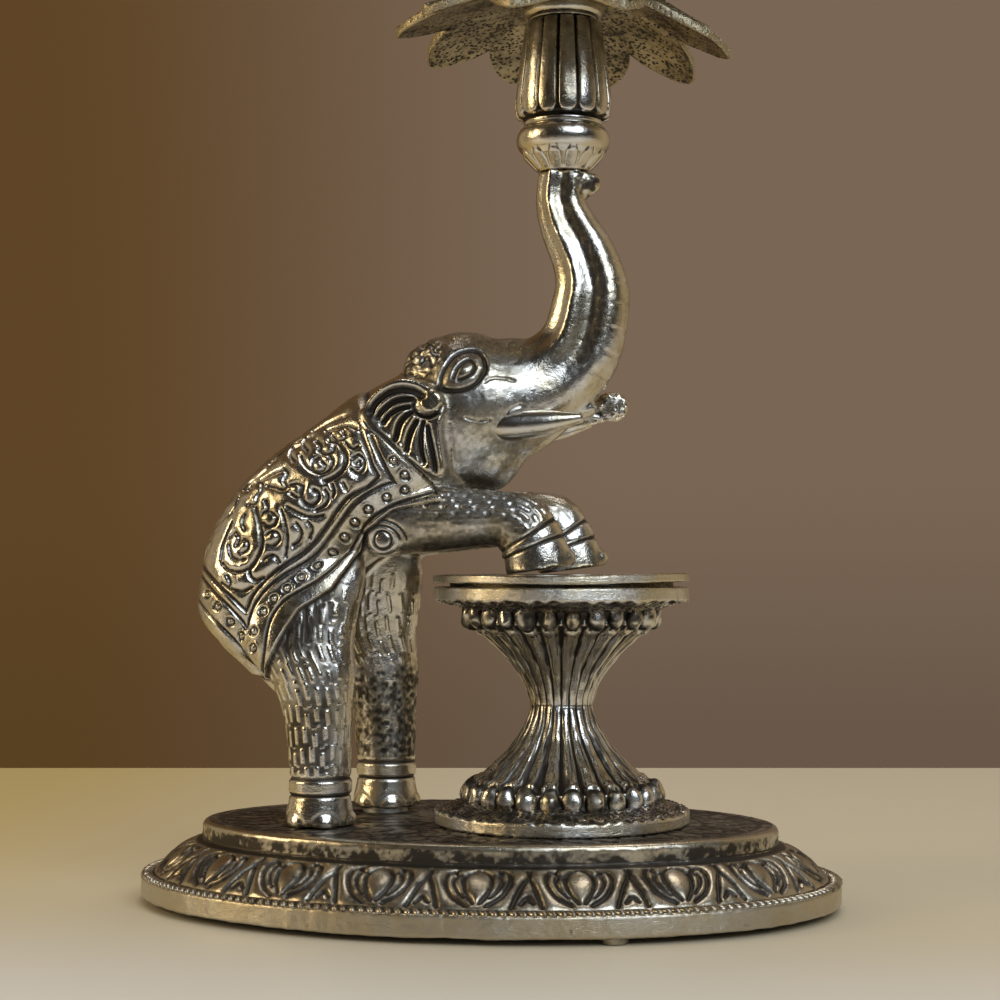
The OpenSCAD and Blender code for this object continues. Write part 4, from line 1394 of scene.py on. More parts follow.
    def dress(self, f: Figure, on_ear: Array) -> Array:
        """Lays the blanket on the back, cuts its border, scrolls and rings, and paints shadow on the skin
        just below its edge.

        Args:
            f: The figure.
            on_ear: Where the ears lie.

        Returns:
            Where the blanket lies.
        """
        cloth = f.depth(CLOTH_EDGE)
        hem = 0.35 + 2.2 * ease(88.0, 94.0, f.z)
        dressed = ease(-0.25, hem, cloth) * (1.0 - on_ear)
        dressed *= ease(-14.0, -13.0, 88.0 - f.z + 0.2 * f.x)
        dressed = np.where(f.x > 24.5, dressed * ease(9.0, 12.0, f.y), dressed)
        side_on = ease(0.12, 0.4, np.abs(f.n[:, 1]))
        middle = ease(-0.2, 0.6, f.depth(FIELD_EDGE))
        scroll = np.where(middle > 0.5, f.clearance(SCROLL_LINES), 3.0)
        lines = np.minimum(f.clearance(BORDER_LINES), scroll)
        cut = ease(0.22, -0.15, lines) * side_on
        puff = swell(lines, 0.8)
        vein = bump(f.grain(0.28, 5), 0.0, 0.13) * dressed * (1.0 - side_on)
        f.height += dressed * (self.cloth_t - 0.5 * cut + (0.15 + 0.35 * middle) * (puff - 0.6) * side_on)
        f.height += dressed * middle * 0.10 * f.grain(0.9, 11) * puff - 0.35 * vein
        f.darken(most(0.9 * vein, dressed * cut * 0.72))
        f.darken(dressed * (0.21 + 0.16 * f.grain(0.3, 6) + 0.1 * f.grain(1.6, 7)))
        # Painted shadow on the bare skin just below the blanket's edge.
        f.darken((1.0 - dressed) * 0.75 * ease(-1.8, -0.2, cloth) * (f.x < 18.0) * side_on)
        for place in CLOTH_RINGS:
            r = f.away(*place)
            ring = 0.28 * bump(r, 0.0, 0.5) - 0.4 * bump(r, 0.85, 0.26) + 0.16 * bump(r, 1.35, 0.25)
            f.height += dressed * (r < 2.5) * ring
        return dressed

    @staticmethod
    def flute_ears(f: Figure, on_ear: Array, depth: Array) -> None:
        """Cuts the ears' flutes and raises their rims and their knobs.

        Args:
            f: The figure.
            on_ear: Where the ears lie.
            depth: Distance inside the ear's edge.
        """
        flute = f.clearance(EAR_FLUTES)
        carved = ease(0.4, -0.35, flute)
        knob, rim = ease(2.9, 1.6, f.away(25.6, 92.9)), bump(depth, 0.9, 0.55)
        f.height += on_ear * (0.5 * swell(flute, 0.5) - carved - 0.25 + 0.9 * knob + 0.35 * rim)
        f.darken(on_ear * carved)

    @staticmethod
    def carve_face(f: Figure, face: Array) -> None:
        """Carves the eyes, the face's lines, the crown's curls and the trunk's lip.

        Args:
            f: The figure.
            face: Where the bare head lies.
        """
        dug = ease(0.32, -0.12, f.clearance(EYE_LINES))
        faint = ease(0.3, -0.12, f.clearance(FACE_LINES))
        seen = face * ease(0.1, 0.35, np.abs(f.n[:, 1]))
        lid = ease(0.3, 2.0, f.depth(EYE_LINES[0][1]))
        pupil = bump(f.away(32.4, 100.3), 0.0, 1.1)
        f.height += seen * (0.45 * lid + 0.35 * pupil - 0.6 * dug - 0.22 * faint)
        f.darken(seen * np.maximum(dug, 0.4 * faint))
        polish = 1.0 - 0.35 * ease(42.0, 50.0, f.x)
        speckle = 0.5 * f.grain(0.16, 27) + 1.2 * f.grain(1.5, 28)
        f.height += face * polish * 0.05 * f.grain(1.1, 23)
        f.darken(face * polish * (0.35 + 0.1 * polish * speckle))
        tip, rough = ease(5.0, 3.0, f.away(58.4, 143.0)), f.grain(0.7, 29)
        f.height += tip * (0.22 * rough + 0.1 * f.grain(1.5, 30))
        f.darken(tip * 0.7 * ease(0.0, -0.5, rough))
        crown = face * ease(6.5, 4.0, f.away(21.0, 103.2)) * ease(13.0, 11.0, f.y)
        curl = bump(f.grain(0.42, 21), 0.0, 0.13)
        f.height += crown * (0.25 * f.grain(0.6, 22) - 0.35 * curl)
        f.darken(crown * (0.35 + 0.6 * curl))

    def carve_flank(self, f: Figure, bare: Array) -> None:
        """Cuts the scroll round the belly's boss and breaks the far tusk's root.

        Args:
            f: The figure.
            bare: Where no blanket lies.
        """
        boss = f.away(self.boss_x, self.boss_z)
        arc = np.hypot(f.x - 14.0, (f.z - 62.4) * 1.15)
        arcs = (bump(arc, 4.4, 0.35) + bump(arc, 5.8, 0.3)) * ease(-1.0, 1.5, f.z - 62.5)
        scrolled = bump(boss, 2.0, 0.3) + arcs
        low = bare * ease(11.0, 12.5, f.y)
        f.height -= low * 0.4 * scrolled
        f.darken(low * np.clip(scrolled, 0, 1))
        broken = ease(5.6, 4.0, f.away(62.0, 93.4)) * ease(0.0, 2.0, f.p[:, 1])
        lumps = f.grain(0.6, 25) + 0.5 * f.grain(1.4, 26)
        f.height += broken * 0.6 * lumps
        f.darken(broken * 0.5 * ease(0.2, -0.4, lumps))

    @staticmethod
    def along(q: Array, s: Array) -> tuple[Array, Array, Array, float]:
        """Where points lie on a loft.

        Args:
            q: The points.
            s: The loft's fine sections.

        Returns:
            The nearest section, the distance from the loft's start, the height above its line and its length.
        """
        at = np.hypot(q[:, :1] - s[:, 0], q[:, 2:3] - s[:, 1]).argmin(1)
        ends = run_lengths(s[:, :2])
        h = np.radians(s[at, 2])
        x, z = q[:, 0] - s[at, 0], q[:, 2] - s[at, 1]
        return at, ends[at] + x * np.cos(h) + z * np.sin(h), z * np.cos(h) - x * np.sin(h), ends[-1]

    def limb_places(self, p: Array, side: int, hind: bool) -> LimbPlaces:
        """Finds the points of one limb and where they lie on it.

        Args:
            p: The figure's points.
            side: -1 for the right limb or 1 for the left one.
            hind: Whether it is a hind leg.

        Returns:
            The limb's points and their places.
        """
        s = spline(self.hind_sections(side) if hind else self.fore_sections(side), 24)
        own = (p[:, 1] * side > 0.5) & (np.abs(p[:, 1] - s[-1, 5]) < 10.5)
        own &= p[:, 2] < self.deck_z + (58 if hind else 75.6)
        own &= hind | (p[:, 0] > self.hind_x + 20)
        near = np.nonzero(own)[0]
        q = p[near]
        at, far, up, length = self.along(q, s)
        left = length - far
        out = (q[:, 1] - s[at, 5]) * side
        if hind:
            rise = s[::-1]
            left = q[:, 2] - s[-1, 1]
            up = np.interp(q[:, 2], rise[:, 1], rise[:, 0]) - q[:, 0]
        tight = ease(2.4, 0.8, np.hypot(up, out) - np.maximum(s[at, 3], s[at, 4]))
        return LimbPlaces(near, q, left, np.arctan2(out, up), (s[at, 3] + s[at, 4]) / 2, tight)

    def limbs(self, f: Figure, dressed: Array) -> None:
        """Adds anklets, nails and rows of chisel marks to the legs.

        Args:
            f: The figure.
            dressed: Where the blanket lies.
        """
        for side, hind in itertools.product((-1, 1), (True, False)):
            at = self.limb_places(f.p, side, hind)
            low, high = self.hind_anklet if hind else self.fore_anklet
            band = ease(low - 0.3, low + 0.2, at.left) * ease(high + 0.3, high - 0.2, at.left)
            grooves = bump(at.left, low, 0.34) + bump(at.left, high, 0.34)
            raised, dark = at.bars(side, f.n[at.near, 0]) if hind else at.dashes(side)
            start = ease(high + 0.7, high + 1.6, at.left)
            nails, lines = at.nails() if hind else (0.0, 0.0)
            bare = (1.0 - dressed[at.near]) * at.tight
            if not hind:
                bare = bare * ease(75.6, 74.2, f.z[at.near]) * ease(20.0, 23.0, f.x[at.near])
            upright = ease(0.8, 0.4, np.abs(f.n[at.near, 2]))
            spread = hind * 0.6 * ease(7.0, 0.5, at.left) * upright
            f.height[at.near] += bare * (0.22 * band - 0.5 * grooves + start * raised + nails + spread)
            dark = most(np.clip(grooves, 0, 1), start * dark, lines)
            f.patina_and_shade[at.near] = np.maximum(f.patina_and_shade[at.near], bare * dark)

    def trunk_marks(self, p: Array, face: Array) -> Array:
        """Heights of the short wrinkles across the trunk's front."""
        s = spline(self.placed(HEAD), 8)
        high = np.nonzero((p[:, 2] > self.deck_z + 96) & (p[:, 0] > self.hind_x + 44))[0]
        q, pitch = p[high], self.wrinkle_pitch
        at, far, up, _ = self.along(q, s)
        line = bump(np.abs((far / pitch) % 1.0 - 0.5) * pitch, 0.0, 0.3)
        made = np.zeros(len(p))
        front = ease(0.55, 0.8, -up / s[at, 3])
        made[high] = -0.18 * line * front * ease(150.0, 140.0, q[:, 2])
        return made * face

    def tusks(self) -> CastMesh:
        """Both tusks, thick where they leave the cheek."""
        y = self.tusk_y + self.tusk_out
        return CastMesh.joined([self.loft(self.placed(TUSK, side * y), 26, 8) for side in (-1, 1)])

    def build(self, finishes: Finishes) -> None:
        """Makes the figure's pieces."""
        skin = self.blank()
        patina_and_shade, piece = self.chase(skin)
        # The elephant's patina includes painted shade and painted highlight from the chasing.
        patina = np.clip(most(skin.patina((0.03, 0.13), (0.12, 0.6)), patina_and_shade), 0.0, 1.0)
        normals = skin.normals()
        names = ("elephant_body", "elephant_head", "elephant_hind_legs", "elephant_forelegs")
        owner = np.median(piece[skin.quads], axis=1).round().astype(int)
        for i, name in enumerate(names):
            used, quads = np.unique(skin.quads[owner == i], return_inverse=True)
            part = CastMesh(skin.points[used], quads.reshape(-1, 4))
            mesh = part.mesh(name, {"patina": patina[used]})
            mesh.normals_split_custom_set_from_vertices(normals[used].astype(np.float32).tolist())
            Workshop.place(mesh, name, finishes.cast, Slot.CAST, nodes=("elephant",))
        tusks = self.tusks()
        shades = {"patina": tusks.patina((0.05, 0.2), (0.2, 0.6))}
        Workshop.cast((tusks, shades), "elephant_tusks", finishes.cast, Slot.CAST)


# Plinth

BUD_LINES = drawn(
    """
    0.24 4.4,5.4 6.4,3.6 6.7,0.2 5,-3.2 2,-5.2;
    0.22 0.6,4.9 2.2,3.3 2.9,0.8 2.3,-2.2 0.7,-4.6;
    0.2 4.6,5.2 4.7,3.5 3.5,2.6 2.3,3.2;
    0.16 4.6,2 5,0.2 4,-2 2.6,-3.4
    """
)
FORK_LINES = drawn(
    """
    0.26 0,6.2 0.1,2.5 -1.5,-0.8 -3.4,-5.6;
    0.24 0.1,2 1.4,-1.5 2.6,-5.6;
    0.18 -1.7,-4.8 -0.4,-3.6 0.9,-4.6
    """
)


@dataclass
class Plinth:
    """The oval base with its relief border."""

    step_a: float = 65.1
    step_b: float = 39.6
    run: float = 13.9
    foot_h: float = 1.4
    foot_r: float = 3.0
    rim_z: float = 6.2
    band_z: float = 14.1
    top_z: float = 18.2
    wall: float = 2.8
    motifs: int = 18
    teeth: int = 212
    columns: int = 1026
    motif_shift: float = 5.7
    lip: float = 1.2
    band_short: float = 4.2
    band_slope: float = 12.6
    band_middle: float = 6.5
    deck_rows: int = 84
    deck_run: float = 38.0
    deck_leaves: tuple[tuple[float, float, int, float], ...] = (
        (2.6, 8.8, 44, 0.0), (9.8, 18.4, 30, 0.5), (19.6, 29.0, 18, 0.0)
    )
    blots: tuple[tuple[float, float], ...] = ((0.16, 1.0), (0.5, 0.6), (1.3, 0.6), (2.4, 0.5))
    rim_facets: int = 40
    rope_in: float = 1.35
    tooth: tuple[float, float, float] = (0.78, 1.75, 0.8)
    tooth_turn: float = 0.6
    foot_angles: tuple[float, ...] = (-62.5, 62.5, 180)

    def oval(self, away: float, a: Array) -> Array:
        """Plan points at a distance outside the step's oval."""
        c, s = np.cos(a), np.sin(a)
        n = np.stack([c / self.step_a, s / self.step_b], -1)
        n /= np.linalg.norm(n, axis=-1, keepdims=True)
        return np.stack([self.step_a * c, self.step_b * s], -1) + away * n

    def ring(self, away: float, a: Array, z: float) -> Array:
        """Points at one height and one distance outside the step's oval."""
        return np.column_stack([self.oval(away, a), np.full(len(a), z)])

    def turns(self, away: float, count: int, start: float) -> tuple[Array, Array, float]:
        """Divides an oval evenly.

        Args:
            away: Its distance outside the step.
            count: How many places are wanted.
            start: The first one's angle.

        Returns:
            The places' angles, their distances along the oval and its length.
        """
        fine = np.linspace(start, start + FULL_TURN, 7201)
        run = run_lengths(self.oval(away, fine))
        at = np.arange(count) / count * run[-1]
        return np.interp(at, run, fine), at, float(run[-1])

    def skin(self, profile: Any, angles: Array, capped: bool = False) -> CastMesh:
        """Sweeps a profile of (distance outside the step, height) round the oval."""
        return CastMesh.grid(np.array([self.ring(d, angles, z) for d, z in profile]), capped=capped)

    def border_lines(self, along: Array, up: Array, length: float) -> Array:
        """How far the border lies outside its cut lines: buds with forked stalks between them.

        Args:
            along: Distance along the border.
            up: Distance up the slope from the band's middle.
            length: The border's whole length.

        Returns:
            Distances in millimetres, below 0 inside a line.
        """
        pitch = length / self.motifs
        p = (along - self.motif_shift + pitch / 2) % pitch - pitch / 2
        fork = (along - self.motif_shift) % pitch - pitch / 2
        return np.minimum(line_clearance(np.abs(p), up, BUD_LINES), line_clearance(fork, up, FORK_LINES))

    def border_profile(self) -> Array:
        """The border's outline from the rim's underside to the step's rounded edge."""
        t = np.linspace(0.0, 1.0, 46)
        fall = (self.band_z - self.rim_z - 0.8) * (1 - t)
        slope_z = self.band_z - 0.4 - fall + 1.2 * np.sin(np.pi * t)
        slope = np.column_stack([self.lip + (self.run - self.band_short) * (1 - t), slope_z])
        out, top = self.run, self.top_z
        return np.vstack(
            [
                even_path([[out - self.wall, self.foot_h], [out - 0.4, self.foot_h]], 0.9),
                even_path([[out, self.foot_h + 0.4], [out, self.rim_z - 0.5]], 0.4),
                even_path([[out - 0.4, self.rim_z], [out - 2.5, self.rim_z]], 0.5),
                slope,
                even_path([[0.5, self.band_z - 0.3], [0.0, self.band_z + 0.2], [0.0, top - 1.2]], 0.35),
                [[-0.12, top - 0.7], [-0.35, top - 0.35], [-0.75, top - 0.1], [-self.lip, top]],
            ]
        )

    def border(self) -> Casting:
        """The rim, the sloping band and the step's wall."""
        angles, along, length = self.turns(self.band_middle, self.columns, -np.pi / 2)
        profile = self.border_profile()
        made = self.skin(profile, angles)
        d, z = np.repeat(profile, self.columns, axis=0).T
        s = np.tile(along, len(profile))
        on_band = ease(1.4, 2.6, d) * ease(self.run - 2.6, self.run - 3.8, d) * (z > self.rim_z)
        on_rim = (d > self.run - 0.45) * (z < self.rim_z - 0.2)
        on_wall = (z > self.band_z) * (d > -0.1)
        up = (0.5 - (d - self.lip) / (self.run - self.band_short)) * self.band_slope
        clear = self.border_lines(s, up, length)
        cut, puff = ease(0.4, -0.3, clear), swell(clear, 1.1)
        rough = made.grain(0.5, 41)
        height = on_band * (0.42 * puff - 0.7 * cut + 0.05 * rough)
        height += on_wall * (0.14 * made.grain(0.28, 43) + 0.10 * made.grain(0.8, 44))
        depths = np.random.default_rng(8).uniform(-0.22, 0.12, self.rim_facets)
        facet = np.interp(s, np.linspace(0, length, self.rim_facets), depths, period=length)
        filed = grain(made.points * [1, 1, 0.4], 0.45, 45) + 0.6 * made.grain(1.2, 57)
        made.push(height + on_rim * (facet + 0.1 * filed))
        blot = sum(weight * made.grain(fine, 46 + k) for k, (fine, weight) in enumerate(self.blots))
        blot = ease(-1.0, 1.0, blot)
        edge = z + 1.3 * made.grain(0.12, 55) + 0.8 * made.grain(0.4, 56)
        low = ease(self.top_z - 0.8, self.band_z + 0.6, edge)
        smudge = ease(0.2, 1.3, 0.6 * made.grain(0.3, 58) + 0.9 * made.grain(1.5, 59))
        patina = most(
            made.patina((0.02, 0.10), (0.06, 0.35)),
            on_wall * np.clip(0.12 + 0.3 * blot + low * (0.1 + 0.8 * blot), 0, 1),
            ease(2.4, 1.0, d) * (z <= self.band_z) * (d > 0) * 0.85,
            on_band * (0.06 + 0.5 * (1.0 - puff) + 0.3 * cut + 0.2 * rough),
            0.6 * on_rim * smudge,
        )
        return made, {"patina": patina, "ground": on_rim * (1.0 - 0.6 * smudge)}

    def deck(self) -> Casting:
        """The engraved top."""
        angles, along, length = self.turns(self.band_middle, self.columns, -np.pi / 2)
        angles, along = angles[::2], along[::2]
        share = np.arange(self.deck_rows) / (self.deck_rows - 1)
        edge = self.ring(-self.lip, angles, self.top_z)
        shrink = 1.0 - 0.985 * share
        made = CastMesh.grid(np.array([edge * [k, k, 1] for k in shrink]), capped=True)
        made.caps = made.caps[1:]
        u = np.repeat(share, len(angles)) * self.deck_run
        s = np.tile(along, self.deck_rows) / length
        height = -0.28 * bump(u, 2.0, 0.4) - 0.2 * bump(u, 9.2, 0.35) - 0.2 * bump(u, 19.0, 0.35)
        for start, stop, count, shift in self.deck_leaves:
            t = np.clip((u - start) / (stop - start), 0.0, 1.0)
            cell = np.abs((s * count + shift) % 1.0 - 0.5) * 2.0
            leaf = np.sin(np.pi * t) ** 0.7 * 0.8
            cut = -0.3 * bump(cell, leaf, 0.12) - 0.22 * bump(cell, 0.0, 0.07) * (t > 0.15)
            height += (u > start) * (u < stop) * (cut + 0.12 * ease(0.0, 0.3, leaf - cell))
        made.push(height + 0.07 * made.grain(0.8, 51))
        made.points[:, 2] = np.minimum(made.points[:, 2], self.top_z + 0.12)
        tarnish = 0.56 + 0.14 * made.grain(0.2, 53) + 0.1 * made.grain(1.1, 54)
        patina = most(made.patina((0.015, 0.07), (0.05, 0.3)), tarnish)
        return made, {"patina": np.clip(patina, 0, 1)}

    def underside(self) -> CastMesh:
        """The hollow below and the three feet."""
        out, r = self.run - self.wall, self.foot_r
        inner = [
            [-self.wall, self.top_z - self.wall], [2 - self.wall, self.band_z - self.wall],
            [out, self.rim_z - 1.5], [out, self.foot_h],
        ]
        under = self.skin(inner, ring_angles(180), capped=True)
        under.caps = under.caps[:1]
        parts = [under]
        profile = np.array([[0.3, 0.0], [r - 0.5, 0.0], [r, 0.5], [r, 3.2], [0.3, 3.2]])
        for a in self.foot_angles:
            parts.append(CastMesh.turned(profile, 36, tuple(self.oval(self.run - r - 0.1, np.radians(a)))))
        return CastMesh.joined(parts)

    def rope(self, finishes: Finishes, repeat: RepeatRig) -> Mesh:
        """The ring of slanted teeth inside the rim."""
        away = self.run - self.rope_in
        at = self.turns(away, self.teeth, 0.0)[0]
        spots = self.ring(away, at, self.rim_z + 0.05)
        ahead = self.oval(away, at + 0.01) - spots[:, :2]
        turns = np.zeros((self.teeth, 3))
        turns[:, 2] = np.arctan2(ahead[:, 1], ahead[:, 0]) + self.tooth_turn
        tooth = CastMesh.ball((0, 0, 0), self.tooth, 6, 9)
        teeth = repeat.set_out(tooth, spots, turns, finishes.plinth, 0.08, 5)
        CastMesh.shade(teeth, "patina", np.full(len(teeth.vertices), 0.3))
        return teeth

    def build(self, finishes: Finishes, repeat: RepeatRig) -> None:
        """Makes the plinth's pieces."""
        under = self.underside()
        shades = {"patina": np.full(len(under.points), 0.3)}
        for name, made, nodes in (
            ("plinth_border", self.border(), ("plinth",)),
            ("plinth_deck", self.deck(), ()),
            ("plinth_underside", (under, shades), ()),
        ):
            Workshop.cast(made, name, finishes.plinth, Slot.PLINTH, nodes=nodes)
        Workshop.place(self.rope(finishes, repeat), "plinth_rope", finishes.plinth, Slot.PLINTH)


# Pedestal


@dataclass
class Pedestal:
    """Two fluted bells, waist to waist, under a ground disc."""

    x: float = 17.0
    foot_z: float = 18.2
    bell_h: float = 26.4
    flange_r: float = 28.6
    flange_t: float = 3.1
    flare_r: float = 19.6
    waist_r: float = 7.0
    power: float = 1.7
    flare_start: float = 9.0
    bead_z: float = 6.6
    bolt_r: float = 2.75
    flutes: int = 26
    columns: int = 676
    disc_z: float = 71.9
    disc_r: float = 28.8
    disc_t: float = 1.8
    disc_columns: int = 480
    bead: tuple[float, float, float] = (2.3, 2.2, 2.95)
    bead_tilt: float = 0.25
    unevenness: float = 0.46

    def profile(self) -> tuple[Array, int]:
        """The bell's closed outline with its flange down, and how many points lie outside."""
        ring = self.flare_r + 0.9
        r, thick, high = self.flange_r, self.flange_t, self.bell_h
        t = np.linspace(0, 1, 56)
        flare_r = self.waist_r + (self.flare_r - self.waist_r) * (1 - t) ** self.power
        outside = np.vstack(
            [
                even_path([[20, 0], [r - 0.4, 0]], 1.5),
                even_path([[r, 0.4], [r, thick - 0.5]], 0.35),
                even_path([[r - 0.4, thick], [ring + 3, thick + 1.1], [ring + 0.8, 5.2]], 0.35),
                even_path([[ring + 0.3, 5.4], [ring, self.flare_start - 0.5]], 0.5),
                np.column_stack([flare_r, self.flare_start + (high - self.flare_start) * t]),
            ]
        )
        inside = [[self.bolt_r, high], [self.bolt_r, high - 6], [4, high - 6], [15.6, 8], [20, 3]]
        return np.vstack([outside, inside]), len(outside)

    def bell(self, seed: int, dulled: float) -> Casting:
        """One bell with its flange down at height 0, about the origin.

        Args:
            seed: The start of its random marks.
            dulled: How much patina lies all over its ribs.

        Returns:
            The bell and its shades.
        """
        profile, outer = self.profile()
        made = CastMesh.turned(profile, self.columns, (0.0, 0.0))
        a, r, z = CastMesh.turned_places(profile, self.columns)
        outside = np.repeat(np.arange(len(profile)) < outer, self.columns)
        pitch = FULL_TURN * r / self.flutes
        turn = a * self.flutes / FULL_TURN
        u = np.abs(turn % 1.0 - 0.5)
        v = np.maximum(z - self.flare_start + 0.6, 0.0)
        arch = np.maximum(1.4 - v, 0.0)
        across = np.hypot(u * pitch, arch) / np.maximum(pitch, 1e-6)
        flared = outside & (z >= self.flare_start - 0.6) & (r < self.flare_r + 1.4)
        bold = np.random.default_rng(seed + 6).uniform(0.7, 1.1, self.flutes)
        size = np.clip(pitch / 4.0, 0.4, 1.0) * bold[np.floor(turn).astype(int) % self.flutes]
        ribs = 1.15 * np.sqrt(np.clip(1.0 - (across / 0.47) ** 2, 0.0, 1.0)) - 0.8
        ribs -= 0.2 * bump(across, 0.25, 0.05) * ease(15.0, 6.0, v)
        ribs *= ease(self.bell_h, self.bell_h - 1.6, z)
        flow = np.column_stack([14 * np.cos(a), 14 * np.sin(a), 0.1 * (z - r)])
        hatch = ease(0.15, 0.6, grain(flow, 1.3, seed + 10))
        lumps = 0.2 * grain(made.points * [1, 1, 0.45], 0.7, seed + 4)
        height = flared * (size * ribs + lumps - 0.14 * hatch)
        seat = np.where(outside, np.hypot(u * pitch, 0.85 * (z - self.bead_z)), 9.0)
        hood = bump(seat, 2.75, 0.4) * ease(self.bead_z - 0.5, self.bead_z + 1.0, z)
        sloped = outside & (z > self.flange_t - 0.05) & (z < 5.3) & (r > self.flare_r)
        scale = np.cos(52 * a + np.pi * np.floor(r / 1.3)) * np.cos(np.pi * r / 1.3 * 2)
        height += 0.6 * hood + sloped * (0.3 * scale + 0.35 * made.grain(0.6, seed))
        on_rim = outside & (r > self.flange_r - 0.05)
        facet = filed_edge(a, seed, 30, -0.35, 0.05)
        height += on_rim * (facet + 0.05 * made.grain(0.6, seed + 1))
        made.push(height + outside * 0.04 * made.grain(0.4, seed + 2))
        film = dulled + 0.2 * dulled * made.grain(0.8, seed + 12) + 0.42 * hatch
        valley = ease(0.3, 0.47, across + 0.09 * made.grain(0.5, seed + 5))
        wall = outside & (z > 5.2) & (z < self.flare_start) & (r < self.flare_r + 2.2)
        patina = most(
            made.patina((0.02, 0.12), (0.12, 0.5)),
            flared * (film + 0.75 * valley),
            sloped * (0.42 + 0.4 * made.grain(0.5, seed + 3)),
            wall * (0.8 - 0.6 * hood),
        )
        return made, {"patina": np.clip(patina, 0, 1), "ground": on_rim.astype(float)}

    def beads(self, base: float, way: int, seed: int, finish: Material, repeat: RepeatRig) -> Mesh:
        """One bell's ring of rough beads.

        Args:
            base: The height of the bell's flange.
            way: 1 for a bell that stands on its flange, -1 for one that hangs from it.
            seed: The start of the random marks.
            finish: The material.
            repeat: Sets out the beads.

        Returns:
            The beads' mesh.
        """
        a = ring_angles(self.flutes) + np.pi / self.flutes
        spots = circle(self.flare_r + 0.8, a, base + way * self.bead_z, self.x)
        turns = np.column_stack([0 * a, np.full(len(a), -way * self.bead_tilt), a])
        made = repeat.set_out(CastMesh.ball((0, 0, 0), self.bead), spots, turns, finish, 0.12, seed)
        lumps = CastMesh.points_of(made) / MM
        out = np.hypot(lumps[:, 0] - self.x, lumps[:, 1]) - self.flare_r
        kept_dark = 0.3 + 0.7 * ease(2.4, 0.8, out)
        kept_dark += 0.35 * grain(lumps, 0.45, seed + 5) + 0.42 * grain(lumps, 1.1, seed + 11)
        CastMesh.shade(made, "patina", np.clip(kept_dark, 0, 1))
        uneven = np.stack([grain(lumps, 0.4, seed + k) for k in (7, 8, 9)], 1)
        CastMesh.move(made, lumps + self.unevenness * uneven)
        made.update()
        return made

    def disc(self) -> Casting:
        """The hand-ground plate on top."""
        r, t = self.disc_r, self.disc_t
        profile = np.vstack(
            [
                [[20, -0.9], [25, -0.9], [25, 0]],
                even_path([[25.5, 0], [r - 0.3, 0]], 0.8),
                even_path([[r, 0.3], [r, t - 0.3]], 0.3),
                even_path([[r - 0.3, t], [4.6, t]], 0.8),
                [[self.bolt_r, 0.4], [self.bolt_r, 0.0], [20, 0.0]],
            ]
        )
        made = CastMesh.turned(profile, self.disc_columns, (self.x, 0.0))
        made.points[:, 2] += self.disc_z
        a, reach, _ = CastMesh.turned_places(profile, self.disc_columns)
        rim = reach > r - 0.1
        made.push(rim * filed_edge(a, 83, 26, -0.4, 0.05) + 0.05 * made.grain(0.35, 85))
        bent = 0.22 * np.cos(a - 0.2) + 0.16 * np.cos(3 * a + 1.0)
        made.points[:, 2] += ease(24.0, r, reach) * bent
        patina = np.clip(0.25 + 0.4 * made.grain(0.15, 87), 0, 1) * (~rim)
        return made, {"patina": patina, "ground": rim.astype(float)}

    def build(self, finishes: Finishes, repeat: RepeatRig) -> None:
        """Makes the bells, their beads and the disc."""
        for node, way, base, seed, dulled in (
            ("pedestal_foot", 1, self.foot_z, 61, 0.26),
            ("pedestal_cup", -1, self.foot_z + 2 * self.bell_h, 71, 0.03),
        ):
            made, shades = self.bell(seed, dulled)
            made.quads = made.quads[:, ::way]
            made.points = made.points * [1, 1, way] + [self.x, 0, base]
            Workshop.cast((made, shades), node + "_cast", finishes.cast, Slot.CAST, nodes=(node,))
            beads = self.beads(base, way, seed, finishes.cast, repeat)
            Workshop.place(beads, node + "_beads", finishes.cast, Slot.CAST)
        Workshop.cast(self.disc(), "pedestal_plate", finishes.cast, Slot.CAST, nodes=("pedestal_disc",))


# Stem


